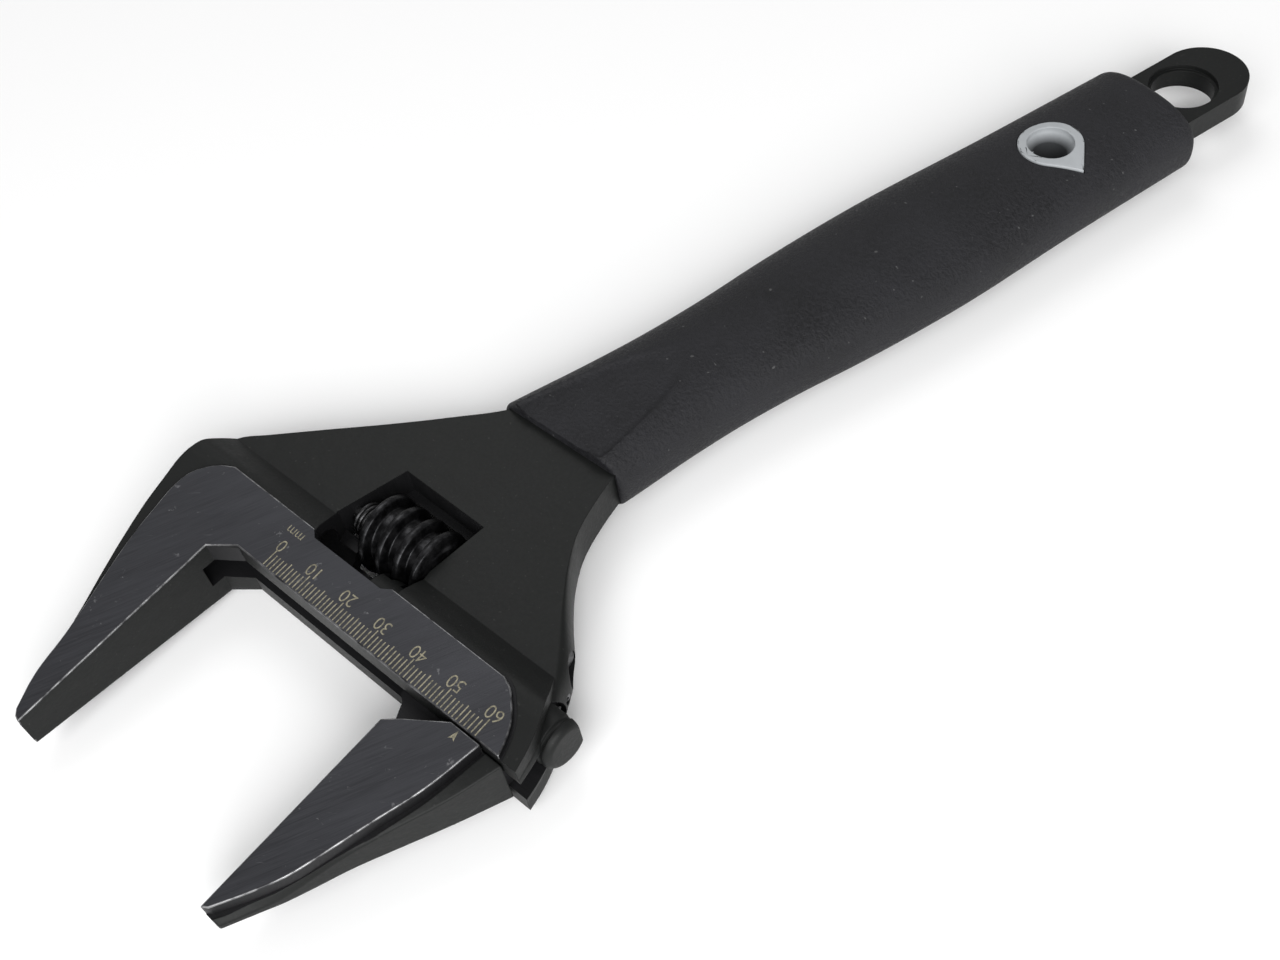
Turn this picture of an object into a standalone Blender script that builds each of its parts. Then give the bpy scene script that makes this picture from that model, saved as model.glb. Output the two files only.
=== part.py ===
"""Wide-jaw adjustable wrench, 60 mm capacity, built as separate named pieces.

Lengths are in millimetres here and become metres when a mesh is made.
X is the jaw's sliding direction, Y runs from the jaws towards the handle, Z is up.
Plan positions below are measured from the fixed jaw's gripping plane (X) and the scale's base
line (Y), heights from the middle plane. The part's origin is the centre of that gripping face.
"""
import math

import bmesh
import bpy
from mathutils import Matrix, Vector

MM = 0.001

# Thickness: the wrench is the same on both sides of its middle plane
HALF = 9.4                      # half thickness along the upper edge of the scale bar
MID = 0.0                       # height of the middle plane
FACE_CENTRE_Y = -26.0           # centre of the fixed jaw's gripping face
FAR = 30.0                      # well outside the tool's thickness, for cutters
BAR_TOP = 12.8                  # upper edge of the scale bar
BAR_LOW = 0.6                   # lower face of the scale bar
BACK_BAR_LOW = 1.4              # lower edge of the back ground face
FACE_SLOPE = 0.08               # each ground face drops towards the jaw tips
PAD_STEP = 0.9                  # the ground faces stand this far above the forging
WEB_HALF = 4.4                  # half thickness of the forged web and shank
RIM_FLAT_Y = 10.0               # the head's rim follows the ground face up to here
RIM_DROP = [(13.6, 0.2), (16.0, 1.6)]   # then it rounds over, as (y, drop)
WEB_Y = 19.3                    # where the thick head has come down to the web
THIN_START_Y = 206.0            # the shank thins to the eye between these
THIN_END_Y = 210.0
BEYOND_EYE_Y = 250.0
EYE_HALF = 3.1                  # half thickness of the eye

# Jaws
OPENING = 57.0                  # jaw opening as stored
JAW_TIP = -50.4                 # how far the gripping faces reach
JAW_TOP = BAR_LOW - 0.3         # shoulder of the movable jaw, with its running gap
NECK_HALF = 2.7
SLOT_HALF = 3.0
SLOT_START = -4.8
SLOT_LOW = -6.2

# Slide rail and its bore
RAIL_Y = 12.0
RAIL_R = 5.4
BORE_R = 5.55
RAIL_START = 30.5
RAIL_END = 83.9
RACK_FLOOR = 15.4
RACK_END = 79.0                 # beyond this the rail's top is flat

# Worm
PITCH = 5.0
WORM_Y = 24.0
WORM_R = 8.3
WORM_ROOT = 6.3
WORM_BORE = 2.08
WORM_START = 19.2
WORM_END = 38.2
CREST_X = 27.95                 # a thread crest on the rack side

# Axle, spring and stop pin
AXLE_R = 2.0
AXLE_START = 8.0
AXLE_SHOULDER = 64.0
AXLE_END = 71.4
AXLE_HEAD_R = 2.9
PIN_Y = 19.0
PIN_R = 1.0
PIN_START = 67.0
PIN_END = 77.0
SPRING_START = 14.8
SPRING_R = 3.5
SPRING_WIRE = 0.5

# Handle
HANDLE_ANGLE = math.radians(15.0)
HANDLE_X = 20.45                # where the handle's axis crosses Y = 0
SHANK_W = 10.1
GRIP_FRONT_Y = 60.0
GRIP_END = 223.9
GRIP_B = 9.2                    # half thickness
GRIP_POWER = 2.0 / 2.6          # squareness of the grip's section
GRIP_TAPER = 0.6                # how much thinner the far half gets
FLAT_FRONT_Z = 7.2              # height of the thumb flat at the grip's front
FLAT_END = 94.0                 # distance at which it runs out
FIT = 0.3                       # gap left between pieces that touch
EYE_S = 234.3
EYE_R = 7.1
EYE_RIM_R = 7.9
EYE_RIM_DEPTH = 1.2
EYE_ARC_S = 240.9
GROMMET_S = 193.0
GROMMET_R = 7.3
GROMMET_POINT = 10.7
GROMMET_TUBE = 5.2
GROMMET_HOLE = 3.9
FLANGE_Z = 6.2

# Outline of the forging, left side, from the tip of the fixed jaw to the grip
LEFT_SIDE = [
    (-1.5, -50.0), (-2.6, -49.0), (-5.9, -42.8), (-8.6, -33.0), (-11.2, -26.3), (-13.7, -20.5),
    (-17.2, -11.8), (-20.0, -3.8), (-21.8, 3.1), (-22.9, 7.6), (-22.9, 11.6), (-21.8, 15.8),
    (-19.3, 20.4), (-15.7, 23.7), (-6.1, 32.6), (3.6, 41.5), (13.4, 51.0), (22.3, 60.4),
]
# Right side, from the grip to the lower corner of the head
RIGHT_SIDE = [
    (51.7, 60.5), (52.9, 54.2), (55.9, 44.6), (58.6, 39.8), (61.4, 35.6), (64.6, 31.3), (67.7, 27.4),
    (70.5, 24.0), (73.3, 20.6), (75.6, 17.8), (77.6, 15.0), (80.2, 10.6), (82.4, 5.2), (83.6, BAR_LOW),
]
# How far the right wall swells at the middle plane, as (y, swell)
WALL_SWELL = [(0.0, 0.2), (10.0, 1.0), (17.0, 2.1), (23.0, 3.6), (25.5, 3.5), (31.0, 2.2), (37.0, 1.0),
              (45.0, 0.0)]
SWELL_X = 50.0                  # the swelling wall lies beyond this x and below this y
SWELL_Y = 60.0
# Ground face of the fixed jaw and scale bar
PAD_LEFT = [
    (-1.5, -50.0), (-2.6, -49.0), (-5.6, -42.8), (-8.1, -33.0), (-10.2, -26.3), (-12.2, -20.4),
    (-15.0, -11.2), (-16.6, -3.6), (-17.5, 2.4), (-17.2, 5.8), (-15.4, 8.9), (-12.8, 11.3), (-9.8, 12.8),
]
PAD_RIGHT = [(69.6, 12.5), (72.0, 11.5), (74.4, 9.5), (76.6, 7.2), (78.4, 4.0), (79.6, BAR_LOW)]
THROAT = [(5.6, BAR_LOW), (0.0, -3.2)]

# Window in the head that the worm sits in
WINDOW = [
    (17.5, 11.2), (37.0, 11.2), (39.9, 12.9), (38.5, 21.4), (39.5, 35.2), (16.4, 35.6),
    (12.4, 19.8), (15.4, 12.9),
]
# Further back lands fill the window's near corner and far edge, and a floor closes it below the bore
LAND_Z = -2.0
LAND_X = 18.6
LAND_Y = 19.9
LAND_FAR_Y = 33.4
FLOOR_Z = -6.4
FLOOR_Y = 17.6

# Movable jaw in plan, as distances from its gripping face
JAW_INNER = [(0.0, JAW_TIP), (0.0, -7.2), (3.0, -4.8), (11.0, JAW_TOP)]
# Outer edge of its front and back ground faces, from the shoulder to the tip
JAW_PAD_FRONT = [(18.4, JAW_TOP), (16.2, -12.0), (13.2, -21.6), (10.7, -30.0), (8.2, -37.6), (5.4, -43.0),
                 (1.4, -49.6)]
JAW_PAD_BACK = [(18.4, JAW_TOP), (16.2, -12.0), (12.0, -22.6), (8.3, -30.9), (5.9, -38.9), (3.8, -43.9),
                (1.0, -49.8)]
# Outer rim, as (y, inner edge, its height, outer edge, its height)
JAW_RIM = [
    (JAW_TOP, 18.9, 6.3, 23.2, 6.0), (-10.0, 16.9, 5.4, 19.6, 4.5), (-20.0, 13.9, 4.3, 15.4, 3.6),
    (-29.0, 11.2, 3.3, 11.8, 2.4), (-36.0, 8.9, 2.7, 9.6, 1.4), (-40.0, 7.4, 2.3, 8.3, 0.9),
    (-44.1, 5.0, 2.1, 6.4, 0.7), (JAW_TIP, 1.6, 2.0, 3.3, 0.6),
]
# Neck between the jaw and its rail
NECK = [(0.0, -8.0), (16.0, -8.0), (22.3, -0.5), (22.3, 10.0), (-4.0, 10.0), (-4.0, -0.3), (-2.4, -1.3),
        (-1.6, -3.0), (0.0, -5.8)]

# Half width of the grip along the handle, as (distance, half width)
GRIP_WIDTH = [(57.0, 16.6), (66.0, 16.0), (78.0, 15.1), (92.0, 14.6), (106.0, 15.0), (125.0, 16.5),
              (150.0, 17.4), (185.0, 16.2), (225.0, 15.4)]


def clear_scene():
    for obj in list(bpy.data.objects):
        bpy.data.objects.remove(obj, do_unlink=True)


def part_place(point):
    """Drawing position in millimetres as a position in the part's frame, in metres."""
    x, y, z = point
    return (x * MM, (y - FACE_CENTRE_Y) * MM, z * MM)


def make_object(name, points, faces):
    mesh = bpy.data.meshes.new(name)
    mesh.from_pydata([part_place(p) for p in points], [], faces)
    bm = bmesh.new()
    bm.from_mesh(mesh)
    bmesh.ops.recalc_face_normals(bm, faces=bm.faces)
    bm.to_mesh(mesh)
    bm.free()
    obj = bpy.data.objects.new(name, mesh)
    bpy.context.scene.collection.objects.link(obj)
    return obj


def rings_object(name, rings):
    """Closed solid through a row of rings that all have the same number of points."""
    count = len(rings[0])
    points = [p for ring in rings for p in ring]
    faces = [tuple(range(count)), tuple(range(len(points) - count, len(points)))]
    for r in range(len(rings) - 1):
        for i in range(count):
            j = (i + 1) % count
            faces.append((r * count + i, r * count + j, (r + 1) * count + j, (r + 1) * count + i))
    return make_object(name, points, faces)


def tube_object(name, rings):
    """Closed solid through rings whose last one joins the first."""
    count = len(rings[0])
    points = [p for ring in rings for p in ring]
    faces = []
    for r in range(len(rings)):
        n = (r + 1) % len(rings)
        for i in range(count):
            j = (i + 1) % count
            faces.append((r * count + i, r * count + j, n * count + j, n * count + i))
    return make_object(name, points, faces)


def prism(name, outline, low, high):
    """Upright prism; low and high are heights or functions of Y."""
    low_at = low if callable(low) else (lambda y: low)
    high_at = high if callable(high) else (lambda y: high)
    return rings_object(name, [
        [(x, y, low_at(y)) for x, y in outline],
        [(x, y, high_at(y)) for x, y in outline],
    ])


def circle(radius, count, centre=(0.0, 0.0), start=0.0):
    return [(centre[0] + radius * math.cos(start + 2 * math.pi * i / count),
             centre[1] + radius * math.sin(start + 2 * math.pi * i / count)) for i in range(count)]


def lathe_x(name, profile, y, z, count):
    """Solid turned about a line along X; profile is (x, radius) from one end to the other."""
    return rings_object(name, [
        [(x, y + a, z + b) for a, b in circle(radius, count)] for x, radius in profile
    ])


def cylinder_x(name, radius, x0, x1, y, count):
    return lathe_x(name, [(x0, radius), (x1, radius)], y, MID, count)


def combine(target, other, operation):
    mod = target.modifiers.new("combine", "BOOLEAN")
    mod.operation = operation
    mod.solver = "EXACT"
    mod.object = other
    bpy.context.view_layer.objects.active = target
    bpy.ops.object.modifier_apply(modifier=mod.name)
    bpy.data.objects.remove(other, do_unlink=True)
    return target


def cut(target, other):
    return combine(target, other, "DIFFERENCE")


def join(target, other):
    return combine(target, other, "UNION")


def keep_inside(target, other):
    return combine(target, other, "INTERSECT")


def soften(obj, width, angle_deg, segments=1):
    mod = obj.modifiers.new("soften", "BEVEL")
    mod.width = width * MM
    mod.segments = segments
    mod.limit_method = "ANGLE"
    mod.angle_limit = math.radians(angle_deg)
    mod.miter_outer = "MITER_SHARP"
    bpy.context.view_layer.objects.active = obj
    bpy.ops.object.modifier_apply(modifier=mod.name)


def put_origin(obj, point):
    """Move the object's origin to a drawing position and leave its shape where it is."""
    place = Vector(part_place(point))
    obj.data.transform(Matrix.Translation(-place))
    obj.location = place


def finish(obj, name, colour, metallic, roughness, smooth_deg=30.0):
    obj.name = name
    obj.data.name = name
    material = bpy.data.materials.new(name)
    material.use_nodes = True
    shader = material.node_tree.nodes["Principled BSDF"]
    shader.inputs["Base Color"].default_value = (*colour, 1.0)
    shader.inputs["Metallic"].default_value = metallic
    shader.inputs["Roughness"].default_value = roughness
    obj.data.materials.clear()
    obj.data.materials.append(material)
    obj.data.shade_smooth()
    obj.data.set_sharp_from_angle(angle=math.radians(smooth_deg))
    return obj


def interpolate(table, value):
    """Value read from a table of (position, value) rows, straight between the rows."""
    for (p0, v0), (p1, v1) in zip(table, table[1:]):
        if value <= p1:
            share = min(1.0, max(0.0, (value - p0) / (p1 - p0)))
            return v0 + (v1 - v0) * share
    return table[-1][1]


def handle_point(s, w):
    """Plan position at distance s along the handle and w to its right."""
    sin_a = math.sin(HANDLE_ANGLE)
    cos_a = math.cos(HANDLE_ANGLE)
    return (HANDLE_X + s * sin_a + w * cos_a, s * cos_a - w * sin_a)


def face_half(y):
    """Half thickness between the ground faces at y."""
    return HALF - FACE_SLOPE * (BAR_TOP - y)


def offset_outline(outline, distance):
    """Outline moved outwards by distance, for points listed anticlockwise."""
    moved = []
    count = len(outline)
    for i in range(count):
        before = Vector(outline[i - 1])
        here = Vector(outline[i])
        after = Vector(outline[(i + 1) % count])
        d0 = (here - before).normalized()
        d1 = (after - here).normalized()
        n0 = Vector((d0.y, -d0.x))
        n1 = Vector((d1.y, -d1.x))
        bisector = (n0 + n1).normalized()
        moved.append(tuple(here + bisector * (distance / max(0.35, bisector.dot(n0)))))
    return moved


def eye_outline():
    """Far end of the shank, from its right side round to its left."""
    arc = []
    steps = 14
    for i in range(steps + 1):
        angle = math.pi * i / steps
        arc.append(handle_point(EYE_ARC_S + SHANK_W * math.sin(angle), SHANK_W * math.cos(angle)))
    return arc


def forging_outline():
    """Plan outline of the forging, anticlockwise from the fixed jaw's tip."""
    shank_right = [handle_point(84.0, SHANK_W), handle_point(74.0, SHANK_W + 1.4)]
    shank_left = [handle_point(78.0, -SHANK_W), handle_point(68.0, -SHANK_W - 1.0)]
    outline = [(0.0, JAW_TIP)]
    outline += list(reversed(THROAT))
    outline += list(reversed(RIGHT_SIDE))
    outline += list(reversed(shank_right))
    outline += eye_outline()
    outline += shank_left
    outline += list(reversed(LEFT_SIDE))
    return outline


def forging_blank(name, grow):
    """Forging before machining, grown all round by grow."""
    outline = offset_outline(forging_outline(), grow)
    rings = []
    for z in (-FAR, -WEB_HALF, -3.7, -2.6, -1.3, 0.0, 1.3, 2.6, 3.7, WEB_HALF, FAR):
        share = math.sqrt(max(0.0, 1.0 - (z / WEB_HALF) ** 2))
        ring = []
        for x, y in outline:
            on_right_wall = x > SWELL_X and y < SWELL_Y
            swell = share * interpolate(WALL_SWELL, y) if on_right_wall else 0.0
            ring.append((x + swell, y, MID + z))
        rings.append(ring)
    blank = rings_object(name, rings)
    rim = face_half(RIM_FLAT_Y) - PAD_STEP
    beyond_tip = JAW_TIP - 5.0
    top = [(beyond_tip, face_half(beyond_tip) - PAD_STEP), (RIM_FLAT_Y, rim)]
    top += [(y, rim - drop) for y, drop in RIM_DROP]
    top += [(WEB_Y, WEB_HALF), (THIN_START_Y, WEB_HALF), (THIN_END_Y, EYE_HALF), (BEYOND_EYE_Y, EYE_HALF)]
    profile = [(y, half + grow) for y, half in top]
    section = [(y, MID + half) for y, half in profile] + [(y, MID - half) for y, half in reversed(profile)]
    slab = rings_object("slab", [[(x, y, z) for y, z in section] for x in (-60.0, 160.0)])
    return keep_inside(blank, slab)


def ground_prism(outline, side, edge=0.25):
    """Ground pad from the middle plane to the tilted face on one side."""
    pad = prism("pad", outline, lambda y: MID, lambda y: MID + side * face_half(y))
    soften(pad, edge, 60.0)
    return pad


def add_ground_faces(body):
    for side, low in ((1.0, BAR_LOW), (-1.0, BACK_BAR_LOW)):
        throat = [(5.6, low), (0.0, -3.2)]
        right = PAD_RIGHT[:-1] + [(PAD_RIGHT[-1][0], low)]
        outline = [(0.0, JAW_TIP)] + list(reversed(throat)) + list(reversed(right)) + list(reversed(PAD_LEFT))
        join(body, ground_prism(outline, side))
    return body


def machine_slideway(body):
    cut(body, cylinder_x("bore", BORE_R, -40.0, 100.0, RAIL_Y, 48))
    slot_outline = [(SLOT_START, SLOT_LOW + 1.6), (SLOT_START + 1.6, SLOT_LOW), (100.0, SLOT_LOW),
                    (100.0, 8.0), (SLOT_START, 8.0)]
    slot = prism("slot", slot_outline, MID - SLOT_HALF, MID + SLOT_HALF)
    cut(body, slot)


def cut_window(body):
    """Worm window: full in front, with a land in its near corner and a floor below the bore."""
    upper = [(38.5, 21.4), (39.4, LAND_FAR_Y), (15.8, LAND_FAR_Y), (12.5, LAND_Y), (LAND_X, LAND_Y)]
    middle = [(LAND_X, 11.2), (37.0, 11.2), (39.9, 12.9)] + upper
    back = [(LAND_X, FLOOR_Y), (39.1, FLOOR_Y)] + upper
    cut(body, prism("window", WINDOW, LAND_Z, FAR))
    cut(body, prism("window_middle", middle, FLOOR_Z, LAND_Z))
    cut(body, prism("window_back", back, -FAR, FLOOR_Z))


def build_forged_body():
    body = forging_blank("body", 0.0)
    soften(body, 0.8, 50.0, 2)
    add_ground_faces(body)
    machine_slideway(body)
    cut_window(body)
    cut(body, cylinder_x("axle_hole", AXLE_R + 0.05, AXLE_START - 0.4, 90.0, WORM_Y, 24))
    cut(body, cylinder_x("screw_recess", AXLE_HEAD_R + 0.05, AXLE_SHOULDER - 0.1, 90.0, WORM_Y, 24))
    cut(body, cylinder_x("pin_hole", PIN_R + 0.02, PIN_START - 0.2, 90.0, PIN_Y, 16))
    eye = handle_point(EYE_S, 0.0)
    cut(body, prism("eye_hole", circle(EYE_R, 40, eye), -FAR, FAR))
    for low, high in ((MID + EYE_HALF - EYE_RIM_DEPTH, FAR), (-FAR, MID - EYE_HALF + EYE_RIM_DEPTH)):
        cut(body, prism("eye_rim", circle(EYE_RIM_R, 40, eye), low, high))
    tether = handle_point(GROMMET_S, 0.0)
    cut(body, prism("tether_hole", circle(GROMMET_TUBE + FIT, 32, tether), -FAR, FAR))
    return finish(body, "forged_body", (0.035, 0.037, 0.036), 0.6, 0.5)


def rack_teeth(jaw):
    """Slanted gaps along the top of the rail, cut to the worm's lead."""
    lean = PITCH / (2 * math.pi * (WORM_Y - RAIL_Y - RAIL_R + 1.0))
    reach = 7.0
    half_floor = 1.2
    half_mouth = 2.15
    first = math.ceil((RAIL_START - CREST_X) / PITCH)
    last = math.floor((RAIL_END - CREST_X) / PITCH)
    for k in range(first, last):
        x = CREST_X + k * PITCH
        section = [(-half_floor, RACK_FLOOR), (half_floor, RACK_FLOOR), (half_mouth, RAIL_Y + RAIL_R + 0.8),
                   (-half_mouth, RAIL_Y + RAIL_R + 0.8)]
        rings = [[(x - lean * z + dx, y, MID + z) for dx, y in section] for z in (-reach, reach)]
        cut(jaw, rings_object("rack_gap", rings))
    end_flat = [(RACK_END, RACK_FLOOR), (FAR * 4, RACK_FLOOR), (FAR * 4, FAR), (RACK_END, FAR)]
    cut(jaw, prism("end_flat", end_flat, -FAR, FAR))


def jaw_core():
    """Movable jaw without its ground faces: six-sided sections from the shoulder to the tip."""
    rings = []
    for y, inner_x, inner_z, outer_x, outer_z in JAW_RIM:
        left = 0.0
        if y > -7.2:
            left = 8.0
        half = [(left, inner_z), (inner_x, inner_z), (outer_x, outer_z)]
        section = half + [(x, -z) for x, z in reversed(half)]
        rings.append([(OPENING + x, y, MID + z) for x, z in section])
    return rings_object("jaw", rings)


def build_movable_jaw():
    def at_face(points):
        return [(OPENING + x, y) for x, y in points]

    jaw = jaw_core()
    for side, outer in ((1.0, JAW_PAD_FRONT), (-1.0, JAW_PAD_BACK)):
        outline = at_face(list(reversed(JAW_INNER)) + list(reversed(outer)))
        join(jaw, ground_prism(outline, side))
    join(jaw, prism("neck", at_face(NECK), MID - NECK_HALF, MID + NECK_HALF))
    groove = RAIL_END - 2.6
    rail_profile = [
        (RAIL_START, RAIL_R - 0.8), (RAIL_START + 0.8, RAIL_R), (groove, RAIL_R), (groove + 0.3, RAIL_R - 0.5),
        (groove + 0.8, RAIL_R - 0.5), (groove + 1.1, RAIL_R - 0.1), (RAIL_END - 0.4, RAIL_R - 0.8),
        (RAIL_END, RAIL_R - 2.0),
    ]
    rail = lathe_x("rail", rail_profile, RAIL_Y, MID, 48)
    rack_teeth(rail)
    join(jaw, rail)
    finish(jaw, "movable_jaw", (0.035, 0.037, 0.038), 0.65, 0.45)
    put_origin(jaw, (OPENING, RAIL_Y, MID))
    return jaw


def thread_height(axial):
    """Height of the worm's thread above its root, by distance from the crest's centre."""
    crest_half = 0.8
    root_half = 1.7
    away = abs((axial + PITCH / 2) % PITCH - PITCH / 2)
    share = min(1.0, max(0.0, (root_half - away) / (root_half - crest_half)))
    return (WORM_R - WORM_ROOT) * share


def build_worm():
    around = 40
    along = 46
    step = (WORM_END - WORM_START) / along
    rings = []
    for i in range(along + 1):
        x = WORM_START + i * step
        ring = []
        for j in range(around):
            turn = j / around
            crest = CREST_X + PITCH * (turn - 0.5)
            radius = WORM_ROOT + thread_height(x - crest)
            if i in (0, along):
                radius -= 0.5
            angle = 2 * math.pi * turn
            ring.append((x, WORM_Y + radius * math.cos(angle), MID + radius * math.sin(angle)))
        rings.append(ring)
    for x in (WORM_END, WORM_START):
        rings.append([(x, WORM_Y + a, MID + b) for a, b in circle(WORM_BORE, around)])
    worm = tube_object("worm", rings)
    finish(worm, "worm_screw", (0.05, 0.05, 0.052), 0.8, 0.4, 50.0)
    put_origin(worm, ((WORM_START + WORM_END) / 2, WORM_Y, MID))
    return worm


def build_worm_axle():
    profile = [(AXLE_START, AXLE_R - 0.5), (AXLE_START + 0.5, AXLE_R), (AXLE_SHOULDER + 0.2, AXLE_R),
               (AXLE_SHOULDER + 0.2, AXLE_HEAD_R), (AXLE_END - 0.4, AXLE_HEAD_R),
               (AXLE_END, AXLE_HEAD_R - 0.4)]
    axle = lathe_x("axle", profile, WORM_Y, MID, 24)
    slot = rings_object("driver_slot", [
        [(x, WORM_Y + y, MID + z) for y, z in ((-0.5, -4.0), (0.5, -4.0), (0.5, 4.0), (-0.5, 4.0))]
        for x in (AXLE_END - 1.4, AXLE_END + 1.0)
    ])
    cut(axle, slot)
    return finish(axle, "worm_axle_screw", (0.30, 0.30, 0.31), 0.9, 0.35)


def build_worm_spring():
    """Compression spring that takes the play out of the worm."""
    start = SPRING_START + SPRING_WIRE
    end = WORM_START - 0.3 - SPRING_WIRE
    turns = 3
    per_turn = 20
    rings = []
    for i in range(turns * per_turn + 1):
        share = i / (turns * per_turn)
        angle = 2 * math.pi * turns * share
        x = start + (end - start) * share
        outward = Vector((0.0, math.cos(angle), math.sin(angle)))
        centre = Vector((x, WORM_Y, MID)) + outward * SPRING_R
        rings.append([tuple(centre + outward * a + Vector((b, 0.0, 0.0)))
                      for a, b in circle(SPRING_WIRE, 8)])
    return finish(rings_object("spring", rings), "worm_spring", (0.45, 0.45, 0.46), 1.0, 0.3, 60.0)


def build_stop_pin():
    profile = [(PIN_START, PIN_R - 0.2), (PIN_START + 0.2, PIN_R), (PIN_END - 0.3, PIN_R),
               (PIN_END, PIN_R - 0.3)]
    return finish(lathe_x("pin", profile, PIN_Y, MID, 16), "jaw_stop_pin", (0.40, 0.40, 0.41), 1.0, 0.35)


def grip_shell(name, grow):
    """Outside of the grip, grown by grow; its front edge is parallel to the scale bar."""
    around = 44
    stations = [(0.0, 1.0), (0.004, 0.35), (0.012, 0.0)] + [(0.03 + 0.94 * i / 24, 0.0) for i in range(25)]
    stations += [(0.985, 0.5), (0.995, 1.4), (1.0, 2.8)]
    rings = []
    for share, shrink in stations:
        ring = []
        for i in range(around):
            angle = 2 * math.pi * i / around
            c = math.cos(angle)
            q = math.sin(angle)
            unit_w = math.copysign(abs(c) ** GRIP_POWER, c)
            unit_z = math.copysign(abs(q) ** GRIP_POWER, q)
            nominal = GRIP_FRONT_Y + share * (GRIP_END - GRIP_FRONT_Y)
            w = unit_w * (interpolate(GRIP_WIDTH, nominal) + grow - shrink)
            front = (GRIP_FRONT_Y + w * math.sin(HANDLE_ANGLE)) / math.cos(HANDLE_ANGLE)
            s = front + share * (GRIP_END - front)
            taper = GRIP_TAPER * max(0.0, share - 0.5)
            x, y = handle_point(s, w)
            ring.append((x, y, MID + unit_z * (GRIP_B - taper + grow - shrink)))
        rings.append(ring)
    return rings_object(name, rings)


def teardrop(grow):
    """Teardrop in plan whose point is on the handle's right."""
    radius = GROMMET_R + grow
    reach = GROMMET_POINT + 1.4 * grow
    tangent = math.acos(radius / reach)
    steps = 26
    points = [handle_point(GROMMET_S, reach)]
    for i in range(steps + 1):
        angle = tangent + (2 * math.pi - 2 * tangent) * i / steps
        points.append(handle_point(GROMMET_S + radius * math.sin(angle), radius * math.cos(angle)))
    return points


def thumb_flats(grip):
    """Flat that rises from the front edge on each side, which leaves a tongue-shaped facet."""
    rise = (GRIP_B - FLAT_FRONT_Z) / (FLAT_END - GRIP_FRONT_Y)
    s0 = GRIP_FRONT_Y - 10.0
    s1 = FLAT_END + 2.0
    z0 = FLAT_FRONT_Z + rise * (s0 - GRIP_FRONT_Y)
    z1 = FLAT_FRONT_Z + rise * (s1 - GRIP_FRONT_Y)
    for side in (1.0, -1.0):
        rings = []
        for w in (-30.0, 30.0):
            rings.append([(*handle_point(s, w), MID + side * z) for s, z in
                          ((s0, z0), (s1, z1), (s1, 20.0), (s0, 20.0))])
        cut(grip, rings_object("flat", rings))


def build_grip():
    grip = grip_shell("grip", 0.0)
    thumb_flats(grip)
    cut(grip, forging_blank("pocket", FIT))
    centre = handle_point(GROMMET_S, 0.0)
    cut(grip, prism("tube_hole", circle(GROMMET_TUBE + 0.2, 32, centre), -FAR, FAR))
    for low, high in ((MID + FLANGE_Z - 0.2, FAR), (-FAR, MID - FLANGE_Z + 0.2)):
        cut(grip, prism("flange_seat", teardrop(0.2), low, high))
    return finish(grip, "grip_sleeve", (0.028, 0.028, 0.031), 0.0, 0.8, 40.0)


def build_grommet():
    """Teardrop-flanged liner of the tether hole through the grip."""
    centre = handle_point(GROMMET_S, 0.0)
    liner = keep_inside(prism("liner", teardrop(0.0), -FAR, FAR), grip_shell("envelope", 0.4))
    around = 28
    waist = rings_object("waist", [
        [(*p, MID - FLANGE_Z) for p in circle(30.0, around, centre)],
        [(*p, MID + FLANGE_Z) for p in circle(30.0, around, centre)],
    ])
    cut(waist, prism("tube", circle(GROMMET_TUBE, around, centre), -FAR, FAR))
    cut(liner, waist)
    mouth = GROMMET_HOLE + 1.3
    levels = [(-12.0, mouth), (-GRIP_B + 1.2, mouth), (-FLANGE_Z, GROMMET_HOLE), (FLANGE_Z, GROMMET_HOLE),
              (GRIP_B - 1.2, mouth), (12.0, mouth)]
    hole = rings_object("hole", [[(*p, MID + z) for p in circle(r, around, centre)] for z, r in levels])
    cut(liner, hole)
    return finish(liner, "tether_grommet", (0.36, 0.38, 0.40), 0.0, 0.6, 40.0)


def main():
    clear_scene()
    build_forged_body()
    build_movable_jaw()
    build_worm()
    build_worm_axle()
    build_worm_spring()
    build_stop_pin()
    build_grip()
    build_grommet()


main()
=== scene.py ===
"""Visual model of the wide-jaw adjustable wrench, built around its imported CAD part.

Lengths are in millimetres until a mesh is made. Plan positions are measured from the fixed jaw's
gripping plane (X) and the scale's base line (Y), heights from the middle plane, as in the part.
"""
import math

import bmesh
import bpy
from mathutils import Matrix, Vector


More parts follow.
